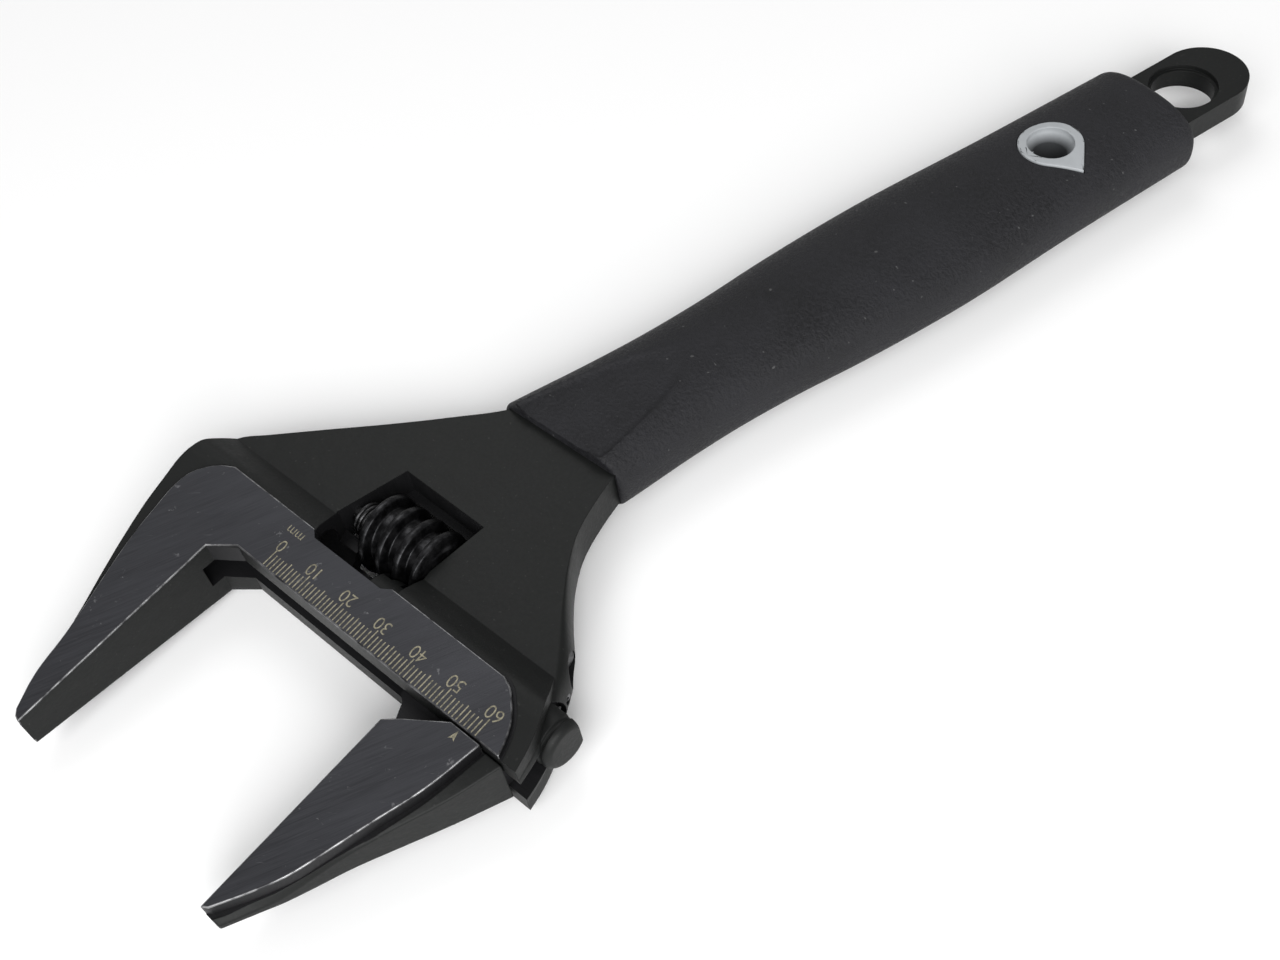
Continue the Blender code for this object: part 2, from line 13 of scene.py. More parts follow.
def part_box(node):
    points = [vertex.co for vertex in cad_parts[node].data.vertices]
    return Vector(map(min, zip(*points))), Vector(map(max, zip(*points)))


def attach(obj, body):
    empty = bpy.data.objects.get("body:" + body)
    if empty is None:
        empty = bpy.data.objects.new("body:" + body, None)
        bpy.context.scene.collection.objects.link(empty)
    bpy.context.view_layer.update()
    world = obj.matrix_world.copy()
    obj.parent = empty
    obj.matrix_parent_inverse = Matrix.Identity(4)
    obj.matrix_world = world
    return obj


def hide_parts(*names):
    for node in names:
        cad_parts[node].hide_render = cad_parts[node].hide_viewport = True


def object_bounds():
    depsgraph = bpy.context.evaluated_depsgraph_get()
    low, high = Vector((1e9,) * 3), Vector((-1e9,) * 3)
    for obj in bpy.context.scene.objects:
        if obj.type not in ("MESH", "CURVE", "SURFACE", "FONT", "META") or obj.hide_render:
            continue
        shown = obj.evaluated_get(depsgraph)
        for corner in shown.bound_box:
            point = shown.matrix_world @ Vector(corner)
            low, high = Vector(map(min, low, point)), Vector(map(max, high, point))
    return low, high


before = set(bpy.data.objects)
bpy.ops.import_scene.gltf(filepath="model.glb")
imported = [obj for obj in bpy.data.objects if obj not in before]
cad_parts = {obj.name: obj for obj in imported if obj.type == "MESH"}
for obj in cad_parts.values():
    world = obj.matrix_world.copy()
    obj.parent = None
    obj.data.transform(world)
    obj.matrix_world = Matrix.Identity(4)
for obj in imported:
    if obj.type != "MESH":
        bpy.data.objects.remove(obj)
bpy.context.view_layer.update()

MM = 0.001
FACE_CENTRE_Y = -26.0           # the frame's origin is the centre of the fixed jaw's face


def node_side(node, axis, high):
    """Side of a CAD node's box along one axis, in drawing millimetres."""
    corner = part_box(node)[1 if high else 0]
    return corner[axis] / MM + (FACE_CENTRE_Y if axis == 1 else 0.0)


# Sizes read from the frame
HALF = node_side("forged_body", 2, True)                # half thickness at the bar's upper edge
OPENING = 57.0                                          # jaw opening as stored
RAIL_START = node_side("movable_jaw", 0, False)
RAIL_END = node_side("movable_jaw", 0, True)
WORM_START = node_side("worm_screw", 0, False)
WORM_END = node_side("worm_screw", 0, True)
WORM_R = (node_side("worm_screw", 2, True) - node_side("worm_screw", 2, False)) / 2
AXLE_START = node_side("worm_axle_screw", 0, False)
AXLE_END = node_side("worm_axle_screw", 0, True)
PIN_START = node_side("jaw_stop_pin", 0, False)
PIN_END = node_side("jaw_stop_pin", 0, True)

# Thickness
FAR = 30.0
BAR_TOP = 12.8
BAR_LOW = 0.6
BACK_BAR_LOW = 1.4
FACE_SLOPE = 0.08
PAD_STEP = 0.9
WEB_HALF = 4.4
WEB_Y = 19.3
RIM_FLAT_Y = 10.0               # the head's rim follows the ground face up to here
RIM_DROP = [(13.6, 0.2), (16.0, 1.6)]   # then it rounds over, as (y, drop)
THIN_START_Y = 206.0            # the shank thins to the eye between these
THIN_END_Y = 210.0
BEYOND_EYE_Y = 250.0
EYE_HALF = 3.1

# Jaws
JAW_TIP = -50.4
JAW_TOP = BAR_LOW - 0.3
NECK_HALF = 2.7
SLOT_HALF = 3.0
SLOT_START = -4.8
SLOT_LOW = -6.2
WORN_EDGE = 0.30                # width of the bright line round a ground face
CHANNEL_WIDTH = 0.65            # dark channels beside the ground faces
JAW_CHANNEL_WIDTH = 0.9
JAW_CHANNEL_DEPTH = 3.0

# Slide rail
RAIL_Y = 12.0
RAIL_R = 5.4
BORE_R = 5.55
RACK_FLOOR = 15.4
RACK_END = 79.0                 # beyond this the rail's top is flat

# Worm
PITCH = 5.0
WORM_Y = 24.0
WORM_ROOT = 6.3
WORM_BORE = 2.08
CREST_X = 27.95

# Axle, pin and spring
AXLE_R = 2.0
AXLE_SHOULDER = 64.2
AXLE_HEAD_R = 2.9
PIN_Y = 19.0
PIN_R = 1.0
SPRING_R = 3.5
SPRING_WIRE = 0.5
SPRING_TURNS = 3

# Handle
HANDLE_ANGLE = math.radians(15.0)
HANDLE_X = 20.45
SHANK_W = 10.1
GRIP_FRONT_Y = 60.0
GRIP_END = 223.9
GRIP_B = 9.2
GRIP_POWER = 2.0 / 2.6          # squareness of the grip's section
FACET_LOW = 7.2                 # height of the grip's thumb facet at its front end
FACET_LENGTH = 34.0
LEDGE = 0.55                    # drop at the outline of that facet
LEDGE_RUN = 0.30
FIT = 0.3
EYE_S = 234.3
EYE_R = 7.1
EYE_RIM_R = 7.9
EYE_RIM_DEPTH = 1.2
EYE_ARC_S = 240.9
GROMMET_S = 193.0
GROMMET_R = 7.3
GROMMET_POINT = 10.7
GROMMET_TUBE = 5.2
GROMMET_HOLE = 3.9
FLANGE_Z = 6.2

# Millimetre scale
SCALE_X = 13.4
SCALE_COUNT = 61
TICK_LOW = 0.95
TICK_WIDTH = 0.26
DIGIT_Y = 6.1
DIGIT_HEIGHT = 2.8
ENGRAVING = 0.03                # thickness of the paint that fills the engraving

# Outline of the forging, left side from the jaw's tip to the grip
LEFT_SIDE = [
    (-2.6, -49.0), (-5.9, -42.8), (-8.6, -33.0), (-11.2, -26.3), (-13.7, -20.5),
    (-17.2, -11.8), (-20.0, -3.8), (-21.8, 3.1), (-22.9, 7.6), (-22.9, 11.6), (-21.8, 15.8),
    (-19.3, 20.4), (-15.7, 23.7), (-6.1, 32.6), (3.6, 41.5), (13.4, 51.0), (22.3, 60.4),
]
# Right side, from the grip to the lower corner of the head
RIGHT_SIDE = [
    (51.7, 60.5), (52.9, 54.2), (55.9, 44.6), (58.6, 39.8), (61.4, 35.6), (64.6, 31.3),
    (67.7, 27.4), (70.5, 24.0), (73.3, 20.6), (75.6, 17.8), (77.6, 15.0), (80.2, 10.6),
    (82.4, 5.2), (83.6, BAR_LOW),
]
# How far the right wall swells at the middle plane, as (y, swell)
WALL_SWELL = [
    (0.0, 0.2), (10.0, 1.0), (17.0, 2.1), (23.0, 3.6), (25.5, 3.5), (31.0, 2.2), (37.0, 1.0),
    (45.0, 0.0),
]
PAD_LEFT = [
    (-2.6, -49.0), (-5.6, -42.8), (-8.1, -33.0), (-10.2, -26.3), (-12.2, -20.4), (-15.0, -11.2),
    (-16.6, -3.6), (-17.5, 2.4), (-17.2, 5.8), (-15.4, 8.9), (-12.8, 11.3), (-9.8, 12.8),
]
PAD_RIGHT = [(69.6, 12.5), (72.0, 11.5), (74.4, 9.5), (76.6, 7.2), (78.4, 4.0), (79.6, BAR_LOW)]
THROAT = [(5.6, BAR_LOW), (0.0, -3.2)]
TIP_CORNER = (-1.5, -50.0)

# Window that the worm sits in
WINDOW = [
    (17.5, 11.2), (37.0, 11.2), (39.9, 12.9), (38.5, 21.4), (39.5, 35.2), (16.4, 35.6),
    (12.4, 19.8), (15.4, 12.9),
]
# Further back lands fill the window's near corner and far edge, and a floor closes it
# below the bore
LAND_Z = -2.0
LAND_X = 18.6
LAND_Y = 19.9
LAND_FAR_Y = 33.4
FLOOR_Z = -6.4
FLOOR_Y = 17.6

# Movable jaw in plan, as distances from its gripping face
JAW_INNER = [(0.0, JAW_TIP), (0.0, -7.2), (3.0, -4.8), (11.0, JAW_TOP)]
JAW_PAD_FRONT = [
    (18.4, JAW_TOP), (16.2, -12.0), (13.2, -21.6), (10.7, -30.0), (8.2, -37.6), (5.4, -43.0),
    (1.4, -49.6),
]
JAW_PAD_BACK = [
    (18.4, JAW_TOP), (16.2, -12.0), (12.0, -22.6), (8.3, -30.9), (5.9, -38.9), (3.8, -43.9),
    (1.0, -49.8),
]
# Outer rim, as (y, inner edge, its height, outer edge, its height)
JAW_RIM = [
    (JAW_TOP, 18.9, 6.3, 23.2, 6.0), (-10.0, 16.9, 5.4, 19.6, 4.5),
    (-20.0, 13.9, 4.3, 15.4, 3.6), (-29.0, 11.2, 3.3, 11.8, 2.4),
    (-36.0, 8.9, 2.7, 9.6, 1.4), (-40.0, 7.4, 2.3, 8.3, 0.9),
    (-44.1, 5.0, 2.1, 6.4, 0.7), (JAW_TIP, 1.6, 2.0, 3.3, 0.6),
]
NECK = [
    (0.0, -8.0), (16.0, -8.0), (22.3, -0.5), (22.3, 10.0), (-4.0, 10.0), (-4.0, -0.3),
    (-2.4, -1.3), (-1.6, -3.0), (0.0, -5.8),
]
# Half width of the grip along the handle, as (distance, half width)
GRIP_WIDTH = [
    (57.0, 16.6), (66.0, 16.0), (78.0, 15.1), (92.0, 14.6), (106.0, 15.0), (125.0, 16.5),
    (150.0, 17.4), (185.0, 16.2), (225.0, 15.4),
]


# ---------------------------------------------------------------- finishes

class Wire:
    """A shader socket that takes part in arithmetic."""

    def __init__(self, finish, socket):
        self.finish = finish
        self.socket = socket

    def work(self, operation, first, second):
        return self.finish.node("Math", {"operation": operation}, {0: first, 1: second})

    def __add__(self, other):
        return self.work("ADD", self, other)

    def __radd__(self, other):
        return self.work("ADD", other, self)

    def __sub__(self, other):
        return self.work("SUBTRACT", self, other)

    def __rsub__(self, other):
        return self.work("SUBTRACT", other, self)

    def __mul__(self, other):
        return self.work("MULTIPLY", self, other)

    def __rmul__(self, other):
        return self.work("MULTIPLY", other, self)


class Finish:
    """One material and the nodes that make its surface."""

    def __init__(self, name, metallic):
        self.material = bpy.data.materials.new(name)
        self.material.use_nodes = True
        self.tree = self.material.node_tree
        self.shader = self.tree.nodes["Principled BSDF"]
        self.shader.inputs["Metallic"].default_value = metallic
        self.place = self.node("TexCoord", {}, {}, "Object")

    def node(self, kind, settings, inputs, output=0):
        made = self.tree.nodes.new("ShaderNode" + kind)
        for key, value in settings.items():
            if key == "stops":
                self.set_stops(made.color_ramp, value)
            else:
                setattr(made, key, value)
        for key, value in inputs.items():
            self.feed(made.inputs[key], value)
        return Wire(self, made.outputs[output])

    def set_stops(self, ramp, stops):
        for element, (position, grey) in zip(ramp.elements, stops):
            element.position = position
            element.color = (grey, grey, grey, 1.0)

    def feed(self, socket, value):
        if isinstance(value, Wire):
            self.tree.links.new(value.socket, socket)
        else:
            socket.default_value = value

    def set(self, name, value):
        self.feed(self.shader.inputs[name], value)

    def noise(self, size, detail=3.0, roughness=0.5, place=None):
        """Noise whose features are about size millimetres across."""
        inputs = {
            "Vector": place or self.place, "Scale": 1.0 / (size * MM),
            "Detail": detail, "Roughness": roughness,
        }
        return self.node("TexNoise", {}, inputs, "Fac")

    def streaks(self, angle, length, width):
        """Brush marks of that length and width that run at an angle in plan."""
        turned = self.node("Mapping", {"vector_type": "TEXTURE"}, {
            "Vector": self.place, "Rotation": (0.0, 0.0, angle),
            "Scale": (length * MM, width * MM, length * MM),
        })
        inputs = {"Vector": turned, "Scale": 1.0, "Detail": 4.0, "Roughness": 0.6}
        return self.node("TexNoise", {}, inputs, "Fac")

    def ramp(self, value, low, high):
        """0 below low, 1 above high."""
        return self.node("ValToRGB", {"stops": [(low, 0.0), (high, 1.0)]}, {"Fac": value})

    def mix(self, factor, first, second):
        colours = {0: factor}
        for index, colour in ((6, first), (7, second)):
            colours[index] = colour if isinstance(colour, Wire) else (*colour, 1.0)
        return self.node("Mix", {"data_type": "RGBA"}, colours, 2)

    def bump(self, height, depth, under=None):
        """Relief of that depth in millimetres where height goes from 0 to 1."""
        inputs = {"Height": height, "Distance": depth * MM, "Strength": 1.0}
        if under:
            inputs["Normal"] = under
        return self.node("Bump", {}, inputs)

    def rounded(self, radius):
        """Normal that turns over sharp edges within a radius in millimetres."""
        return self.node("Bevel", {"samples": 4}, {"Radius": radius * MM})


def forged_black():
    """Blackened forging: satin, faintly green, with a fine orange-peel grain."""
    finish = Finish("forged_black", 0.3)
    mottle = finish.noise(14.0, 4.0)
    grain = finish.noise(0.7, 3.0)
    speck = finish.ramp(finish.noise(0.9, 2.0, 0.4), 0.70, 0.74)
    base = finish.mix(mottle, (0.0070, 0.0076, 0.0073), (0.0120, 0.0128, 0.0124))
    finish.set("Base Color", finish.mix(speck * 0.25, base, (0.05, 0.05, 0.048)))
    finish.set("Roughness", 0.40 + mottle * 0.10 + grain * 0.12)
    finish.set("Specular IOR Level", 0.30)
    lumps = finish.bump(finish.noise(5.0, 2.0), 0.14, finish.rounded(0.25))
    finish.set("Normal", finish.bump(grain, 0.035, lumps))
    return finish.material


def ground_steel():
    """Blackened ground face with slanting grinding marks and small worn flecks."""
    finish = Finish("ground_steel", 0.75)
    marks = finish.ramp(finish.streaks(math.radians(62.0), 9.0, 0.22), 0.28, 0.72)
    long_marks = finish.ramp(finish.streaks(math.radians(56.0), 30.0, 6.0), 0.35, 0.65)
    cloud = finish.noise(22.0, 3.0)
    fleck = finish.ramp(finish.noise(2.4, 4.0, 0.65), 0.66, 0.72)
    scratch = finish.ramp(finish.streaks(math.radians(35.0), 5.0, 0.30), 0.68, 0.75)
    base = finish.mix(marks, (0.038, 0.0385, 0.043), (0.072, 0.073, 0.081))
    base = finish.mix(long_marks * 0.45, base, (0.086, 0.088, 0.099))
    base = finish.mix(cloud * 0.45, base, (0.036, 0.037, 0.043))
    base = finish.mix(scratch * 0.4, base, (0.20, 0.20, 0.21))
    finish.set("Base Color", finish.mix(fleck * 0.5, base, (0.26, 0.26, 0.27)))
    finish.set("Roughness", 0.34 + marks * 0.16 + cloud * 0.06)
    finish.set("Normal", finish.bump(marks, 0.012, finish.rounded(0.15)))
    return finish.material


def worn_edge():
    """Bare steel along the ground faces' edges, where the black has rubbed off unevenly."""
    finish = Finish("worn_edge", 0.9)
    patch = finish.ramp(finish.noise(3.2, 4.0, 0.6), 0.36, 0.62)
    fine = finish.noise(0.5, 2.0)
    base = finish.mix(patch, (0.05, 0.05, 0.053), (0.27, 0.27, 0.275))
    finish.set("Base Color", base)
    finish.set("Roughness", 0.30 + fine * 0.12)
    finish.set("Normal", finish.bump(fine, 0.01))
    return finish.material


def machined_black():
    """Blackened cut surface inside bores, slots and gaps, with fine tool marks."""
    finish = Finish("machined_black", 0.6)
    marks = finish.streaks(0.0, 6.0, 0.25)
    finish.set("Base Color", finish.mix(marks, (0.010, 0.010, 0.011), (0.024, 0.024, 0.026)))
    finish.set("Roughness", 0.42 + marks * 0.16)
    finish.set("Normal", finish.bump(marks, 0.01))
    return finish.material


def worm_steel():
    """Oiled dark steel, brighter where the thumb and the rack rub it."""
    finish = Finish("worm_steel", 0.9)
    patch = finish.ramp(finish.noise(2.2, 4.0, 0.6), 0.42, 0.66)
    fine = finish.noise(0.4, 3.0)
    base = finish.mix(patch, (0.012, 0.012, 0.013), (0.050, 0.050, 0.053))
    finish.set("Base Color", base)
    finish.set("Roughness", 0.27 + fine * 0.14)
    finish.set("Normal", finish.bump(fine, 0.008, finish.rounded(0.12)))
    return finish.material


def bright_steel(name, low, high):
    """Turned steel with fine rings, for the axle, spring and pin."""
    finish = Finish(name, 1.0)
    fine = finish.noise(0.35, 3.0)
    dirt = finish.ramp(finish.noise(1.6, 3.0), 0.35, 0.65)
    finish.set("Base Color", finish.mix(dirt, (low, low, low * 1.03), (high, high, high * 1.03)))
    finish.set("Roughness", 0.26 + fine * 0.16)
    finish.set("Normal", finish.bump(fine, 0.006, finish.rounded(0.12)))
    return finish.material


def grip_rubber(name, dark, light, sandy, grain_height):
    """Matte moulded rubber: sandy grain, cloudy sheen and a few dust specks."""
    finish = Finish(name, 0.0)
    grain = finish.ramp(finish.noise(0.80, 4.0, 0.65), 0.36, 0.66)
    cloud = finish.ramp(finish.noise(16.0, 4.0), 0.32, 0.68)
    speck = finish.ramp(finish.noise(1.15, 1.0, 0.3), 0.765, 0.79)
    base = finish.mix(cloud, dark, light)
    base = finish.mix(grain * 0.55, base, sandy)
    finish.set("Base Color", finish.mix(speck * 0.45, base, (0.14, 0.14, 0.14)))
    finish.set("Roughness", 0.46 + grain * 0.24 + cloud * 0.08)
    finish.set("Specular IOR Level", 0.30)
    small_lumps = finish.bump(finish.noise(2.2, 2.0), 0.10)
    finish.set("Normal", finish.bump(grain, grain_height, small_lumps))
    return finish.material


def grey_plastic():
    """Pale satin plastic of the tether liner, with painted shade that darkens it deep inside the
    hole.
    """
    finish = Finish("grey_plastic", 0.0)
    cloud = finish.noise(3.0, 4.0)
    grain = finish.noise(0.3, 3.0)
    height = finish.node("SeparateXYZ", {}, {"Vector": finish.place}, "Z")
    depth = finish.node("Math", {"operation": "ABSOLUTE"}, {0: height})
    # Painted shade: towards the middle plane, inside the hole through the grip, the colour turns
    # almost black.
    clear_of_painted_shade = finish.ramp(depth * (1.0 / (GRIP_B * MM)), FLANGE_Z / GRIP_B - 0.03, 0.86)
    base = finish.mix(cloud, (0.32, 0.335, 0.35), (0.40, 0.42, 0.435))
    base = finish.mix(clear_of_painted_shade, (0.045, 0.047, 0.050), base)
    finish.set("Base Color", base)
    finish.set("Roughness", 0.42 + grain * 0.14)
    finish.set("Normal", finish.bump(grain, 0.012, finish.rounded(0.2)))
    return finish.material


def engraving_paint():
    """Olive-beige paint in the engraved scale, thin in places."""
    finish = Finish("engraving_paint", 0.0)
    patch = finish.ramp(finish.noise(0.7, 3.0, 0.6), 0.30, 0.60)
    base = finish.mix(patch, (0.085, 0.078, 0.055), (0.27, 0.246, 0.172))
    finish.set("Base Color", base)
    finish.set("Roughness", 0.55 + patch * 0.15)
    return finish.material


def pale_floor():
    finish = Finish("pale_floor", 0.0)
    cloud = finish.noise(300.0, 2.0)
    finish.set("Base Color", finish.mix(cloud, (0.95, 0.95, 0.95), (0.97, 0.97, 0.97)))
    finish.set("Roughness", 0.8 + cloud * 0.05)
    return finish.material


# ---------------------------------------------------------------- shapes

def frame_place(point):
    """Drawing position in millimetres as a position in the frame, in metres."""
    x, y, z = point
    return (x * MM, (y - FACE_CENTRE_Y) * MM, z * MM)


def make_object(name, points, faces, slot_index=0):
    mesh = bpy.data.meshes.new(name)
    mesh.from_pydata([frame_place(p) for p in points], [], faces)
    bm = bmesh.new()
    bm.from_mesh(mesh)
    bmesh.ops.recalc_face_normals(bm, faces=bm.faces)
    for face in bm.faces:
        face.material_index = slot_index
    bm.to_mesh(mesh)
    bm.free()
    obj = bpy.data.objects.new(name, mesh)
    bpy.context.scene.collection.objects.link(obj)
    return obj


def band_faces(rows, count, closed):
    """Quads between rows of points; closed joins the last row to the first."""
    faces = []
    for r in range(rows if closed else rows - 1):
        n = (r + 1) % rows
        for i in range(count):
            j = (i + 1) % count
            faces.append((r * count + i, r * count + j, n * count + j, n * count + i))
    return faces


def rings_object(name, rings, slot_index=0):
    """Closed solid through a row of rings that all have the same number of points."""
    count = len(rings[0])
    points = [p for ring in rings for p in ring]
    faces = band_faces(len(rings), count, False)
    faces.append(tuple(range(count)))
    faces.append(tuple(range(len(points) - count, len(points))))
    return make_object(name, points, faces, slot_index)


def tube_object(name, rings):
    """Closed solid through rings whose last one joins the first."""
    points = [p for ring in rings for p in ring]
    return make_object(name, points, band_faces(len(rings), len(rings[0]), True))


def prism(name, outline, low, high, slot_index=0):
    """Upright prism; low and high are heights or functions of Y."""
    low_at = low if callable(low) else (lambda y: low)
    high_at = high if callable(high) else (lambda y: high)
    rings = [
        [(x, y, low_at(y)) for x, y in outline],
        [(x, y, high_at(y)) for x, y in outline],
    ]
    return rings_object(name, rings, slot_index)


def circle(radius, count, centre=(0.0, 0.0)):
    turns = [2 * math.pi * i / count for i in range(count)]
    return [(centre[0] + radius * math.cos(a), centre[1] + radius * math.sin(a)) for a in turns]


def lathe_x(name, profile, y, count, slot_index=0):
    """Solid turned about a line along X; profile is (x, radius) from one end to the other."""
    rings = [[(x, y + a, b) for a, b in circle(radius, count)] for x, radius in profile]
    return rings_object(name, rings, slot_index)


def cylinder_x(name, radius, x0, x1, y, slot_index=0):
    return lathe_x(name, [(x0, radius), (x1, radius)], y, 96, slot_index)


def curve_through(points, spacing):
    """Smooth run through points of any dimension, with a new point about every spacing."""
    places = [Vector(p) for p in points]
    gaps = [(b - a).length for a, b in zip(places, places[1:])]
    slopes = [(places[1] - places[0]) / gaps[0]]
    for i in range(1, len(gaps)):
        before = (places[i] - places[i - 1]) / gaps[i - 1]
        after = (places[i + 1] - places[i]) / gaps[i]
        slopes.append((before * gaps[i] + after * gaps[i - 1]) / (gaps[i] + gaps[i - 1]))
    slopes.append((places[-1] - places[-2]) / gaps[-1])
    run = []
    for i, gap in enumerate(gaps):
        steps = max(1, round(gap / spacing))
        for j in range(steps):
            t = j / steps
            start_share = (1.0 + 2.0 * t) * (1.0 - t) ** 2
            leave = t * (1.0 - t) ** 2 * gap
            arrive = t * t * (t - 1.0) * gap
            place = places[i] * start_share + places[i + 1] * (1.0 - start_share)
            run.append(tuple(place + slopes[i] * leave + slopes[i + 1] * arrive))
    run.append(tuple(places[-1]))
    return run


def smooth_table(table):
    """The same table with many more rows, for reading a smooth curve from it."""
    return curve_through(table, 1.0)


def interpolate(table, value):
    """Value read from (position, value) rows, straight between the rows."""
    for (p0, v0), (p1, v1) in zip(table, table[1:]):
        if value <= p1:
            share = min(1.0, max(0.0, (value - p0) / (p1 - p0)))
            return v0 + (v1 - v0) * share
    return table[-1][1]


def apply_modifiers(obj):
    depsgraph = bpy.context.evaluated_depsgraph_get()
    mesh = bpy.data.meshes.new_from_object(obj.evaluated_get(depsgraph))
    obj.modifiers.clear()
    obj.data = mesh
    return obj


def combine(target, other, operation):
    mod = target.modifiers.new("combine", "BOOLEAN")
    mod.operation = operation
    mod.solver = "EXACT"
    mod.object = other
    apply_modifiers(target)
    bpy.data.objects.remove(other, do_unlink=True)
    return target


def cut(target, other):
    return combine(target, other, "DIFFERENCE")


def join(target, other):
    return combine(target, other, "UNION")


def keep_inside(target, other):
    return combine(target, other, "INTERSECT")


def soften(obj, width, angle_deg, segments, slot_index=-1, clamp=True):
    mod = obj.modifiers.new("soften", "BEVEL")
    mod.width = width * MM
    mod.segments = segments
    mod.limit_method = "ANGLE"
    mod.angle_limit = math.radians(angle_deg)
    mod.miter_outer = "MITER_SHARP"
    mod.material = slot_index
    mod.use_clamp_overlap = clamp
    return apply_modifiers(obj)


def give(obj, materials):
    for material in materials:
        obj.data.materials.append(material)
    return obj


def settle(obj, name, smooth_deg, body, nodes):
    """Last step of a piece: its name, its shading, and what it rides on and stands for."""
    obj.name = name
    obj.data.name = name
    obj.data.shade_smooth()
    obj.data.set_sharp_from_angle(angle=math.radians(smooth_deg))
    weigh = obj.modifiers.new("weigh", "WEIGHTED_NORMAL")
    weigh.keep_sharp = True
    apply_modifiers(obj)
    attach(obj, body)
    if nodes:
        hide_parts(*nodes)
    return obj


# ---------------------------------------------------------------- forged body

FORGED = 0
GROUND = 1
WORN = 2
MACHINED = 3


def handle_point(s, w):
    """Plan position at distance s along the handle and w to its right."""
    sin_a = math.sin(HANDLE_ANGLE)
    cos_a = math.cos(HANDLE_ANGLE)
    return (HANDLE_X + s * sin_a + w * cos_a, s * cos_a - w * sin_a)


def face_half(y):
    """Half thickness between the ground faces at y."""
    return HALF - FACE_SLOPE * (BAR_TOP - y)


def offset_outline(outline, distance):
    """Outline moved outwards by distance, for points listed anticlockwise."""
    moved = []
    count = len(outline)
    for i in range(count):
        here = Vector(outline[i])
        d0 = (here - Vector(outline[i - 1])).normalized()
        d1 = (Vector(outline[(i + 1) % count]) - here).normalized()
        n0 = Vector((d0.y, -d0.x))
        n1 = Vector((d1.y, -d1.x))
        bisector = (n0 + n1).normalized()
        moved.append(tuple(here + bisector * (distance / max(0.35, bisector.dot(n0)))))
    return moved


def eye_outline(steps):
    """Far end of the shank, from its right side round to its left."""
    arc = []
    for i in range(steps + 1):
        angle = math.pi * i / steps
        s = EYE_ARC_S + SHANK_W * math.sin(angle)
        arc.append(handle_point(s, SHANK_W * math.cos(angle)))
    return arc


def forging_outline(spacing, steps):
    """Plan outline of the forging, anticlockwise from the fixed jaw's tip."""
    right = list(reversed(RIGHT_SIDE))
    right += [handle_point(74.0, SHANK_W + 1.4), handle_point(84.0, SHANK_W)]
    left = [handle_point(78.0, -SHANK_W), handle_point(68.0, -SHANK_W - 1.0)]
    left += list(reversed(LEFT_SIDE))
    outline = [(0.0, JAW_TIP)] + list(reversed(THROAT))
    outline += curve_through(right, spacing)
    outline += eye_outline(steps)
    outline += curve_through(left, spacing)
    outline.append(TIP_CORNER)
    return outline


def forging_blank(name, grow, spacing, steps, levels):
    """Forging before machining, grown all round by grow."""
    outline = offset_outline(forging_outline(spacing, steps), grow)
    swell_table = smooth_table(WALL_SWELL)
    heights = [WEB_HALF * math.sin(math.pi / 2 * k / levels) for k in range(-levels, levels + 1)]
    rings = []
    for z in [-FAR] + heights + [FAR]:
        share = math.sqrt(max(0.0, 1.0 - (z / WEB_HALF) ** 2))
        ring = []
        for x, y in outline:
            on_right_wall = x > 50.0 and y < 60.0
            swell = share * interpolate(swell_table, y) if on_right_wall else 0.0
            ring.append((x + swell, y, z))
        rings.append(ring)
    blank = rings_object(name, rings)
    rim = face_half(RIM_FLAT_Y) - PAD_STEP
    ramp = [(RIM_FLAT_Y, rim)] + [(y, rim - drop) for y, drop in RIM_DROP]
    ramp = curve_through(ramp + [(WEB_Y, WEB_HALF)], 0.6)
    tip_y = JAW_TIP - 5.0
    top = [(tip_y, face_half(tip_y) - PAD_STEP)] + ramp
    top += [(THIN_START_Y, WEB_HALF), (THIN_END_Y, EYE_HALF), (BEYOND_EYE_Y, EYE_HALF)]
    section = [(y, half + grow) for y, half in top]
    section += [(y, -half - grow) for y, half in reversed(top)]
    slab = rings_object("slab", [[(x, y, z) for y, z in section] for x in (-60.0, 160.0)])
    return keep_inside(blank, slab)


def pad_channel(outline, side, width, depth, materials):
    """Cutter for the dark channel that runs round a ground pad."""
    wide = offset_outline(outline, width)
    channel = prism("channel", wide, lambda y: side * (face_half(y) - depth), side * FAR, MACHINED)
    return give(channel, materials)


def ground_prism(outline, side, grip_x, materials):
    """Ground pad from the middle plane to the tilted face on one side, with worn edges."""
    pad = prism("pad", outline, 0.0, lambda y: side * face_half(y), GROUND)
    give(pad, materials)
    for polygon in pad.data.polygons:
        if abs(polygon.normal.z) < 0.3:
            on_grip = abs(polygon.center.x / MM - grip_x) < 0.1
            polygon.material_index = FORGED if on_grip else MACHINED
    return soften(pad, WORN_EDGE, 60.0, 3, WORN)


def add_ground_faces(body, materials):
    """Ground pads of the fixed jaw and scale bar, on both sides."""
    for side, low in ((1.0, BAR_LOW), (-1.0, BACK_BAR_LOW)):
        right = PAD_RIGHT[:-1] + [(PAD_RIGHT[-1][0], low)]
        outline = [(0.0, JAW_TIP), (0.0, -3.2), (5.6, low)]
        outline += curve_through(list(reversed(right)), 0.8)
        outline += curve_through(list(reversed(PAD_LEFT)), 1.5)
        outline.append(TIP_CORNER)
        cut(body, pad_channel(outline, side, CHANNEL_WIDTH, PAD_STEP + 0.3, materials))
        join(body, ground_prism(outline, side, 0.0, materials))
    return body


def machine_slideway(body, materials):
    cut(body, give(cylinder_x("bore", BORE_R, -40.0, 100.0, RAIL_Y, MACHINED), materials))
    outline = [
        (SLOT_START, SLOT_LOW + 1.6), (SLOT_START + 1.6, SLOT_LOW), (100.0, SLOT_LOW),
        (100.0, 8.0), (SLOT_START, 8.0),
    ]
    slot = prism("slot", outline, -SLOT_HALF, SLOT_HALF, MACHINED)
    cut(body, give(slot, materials))


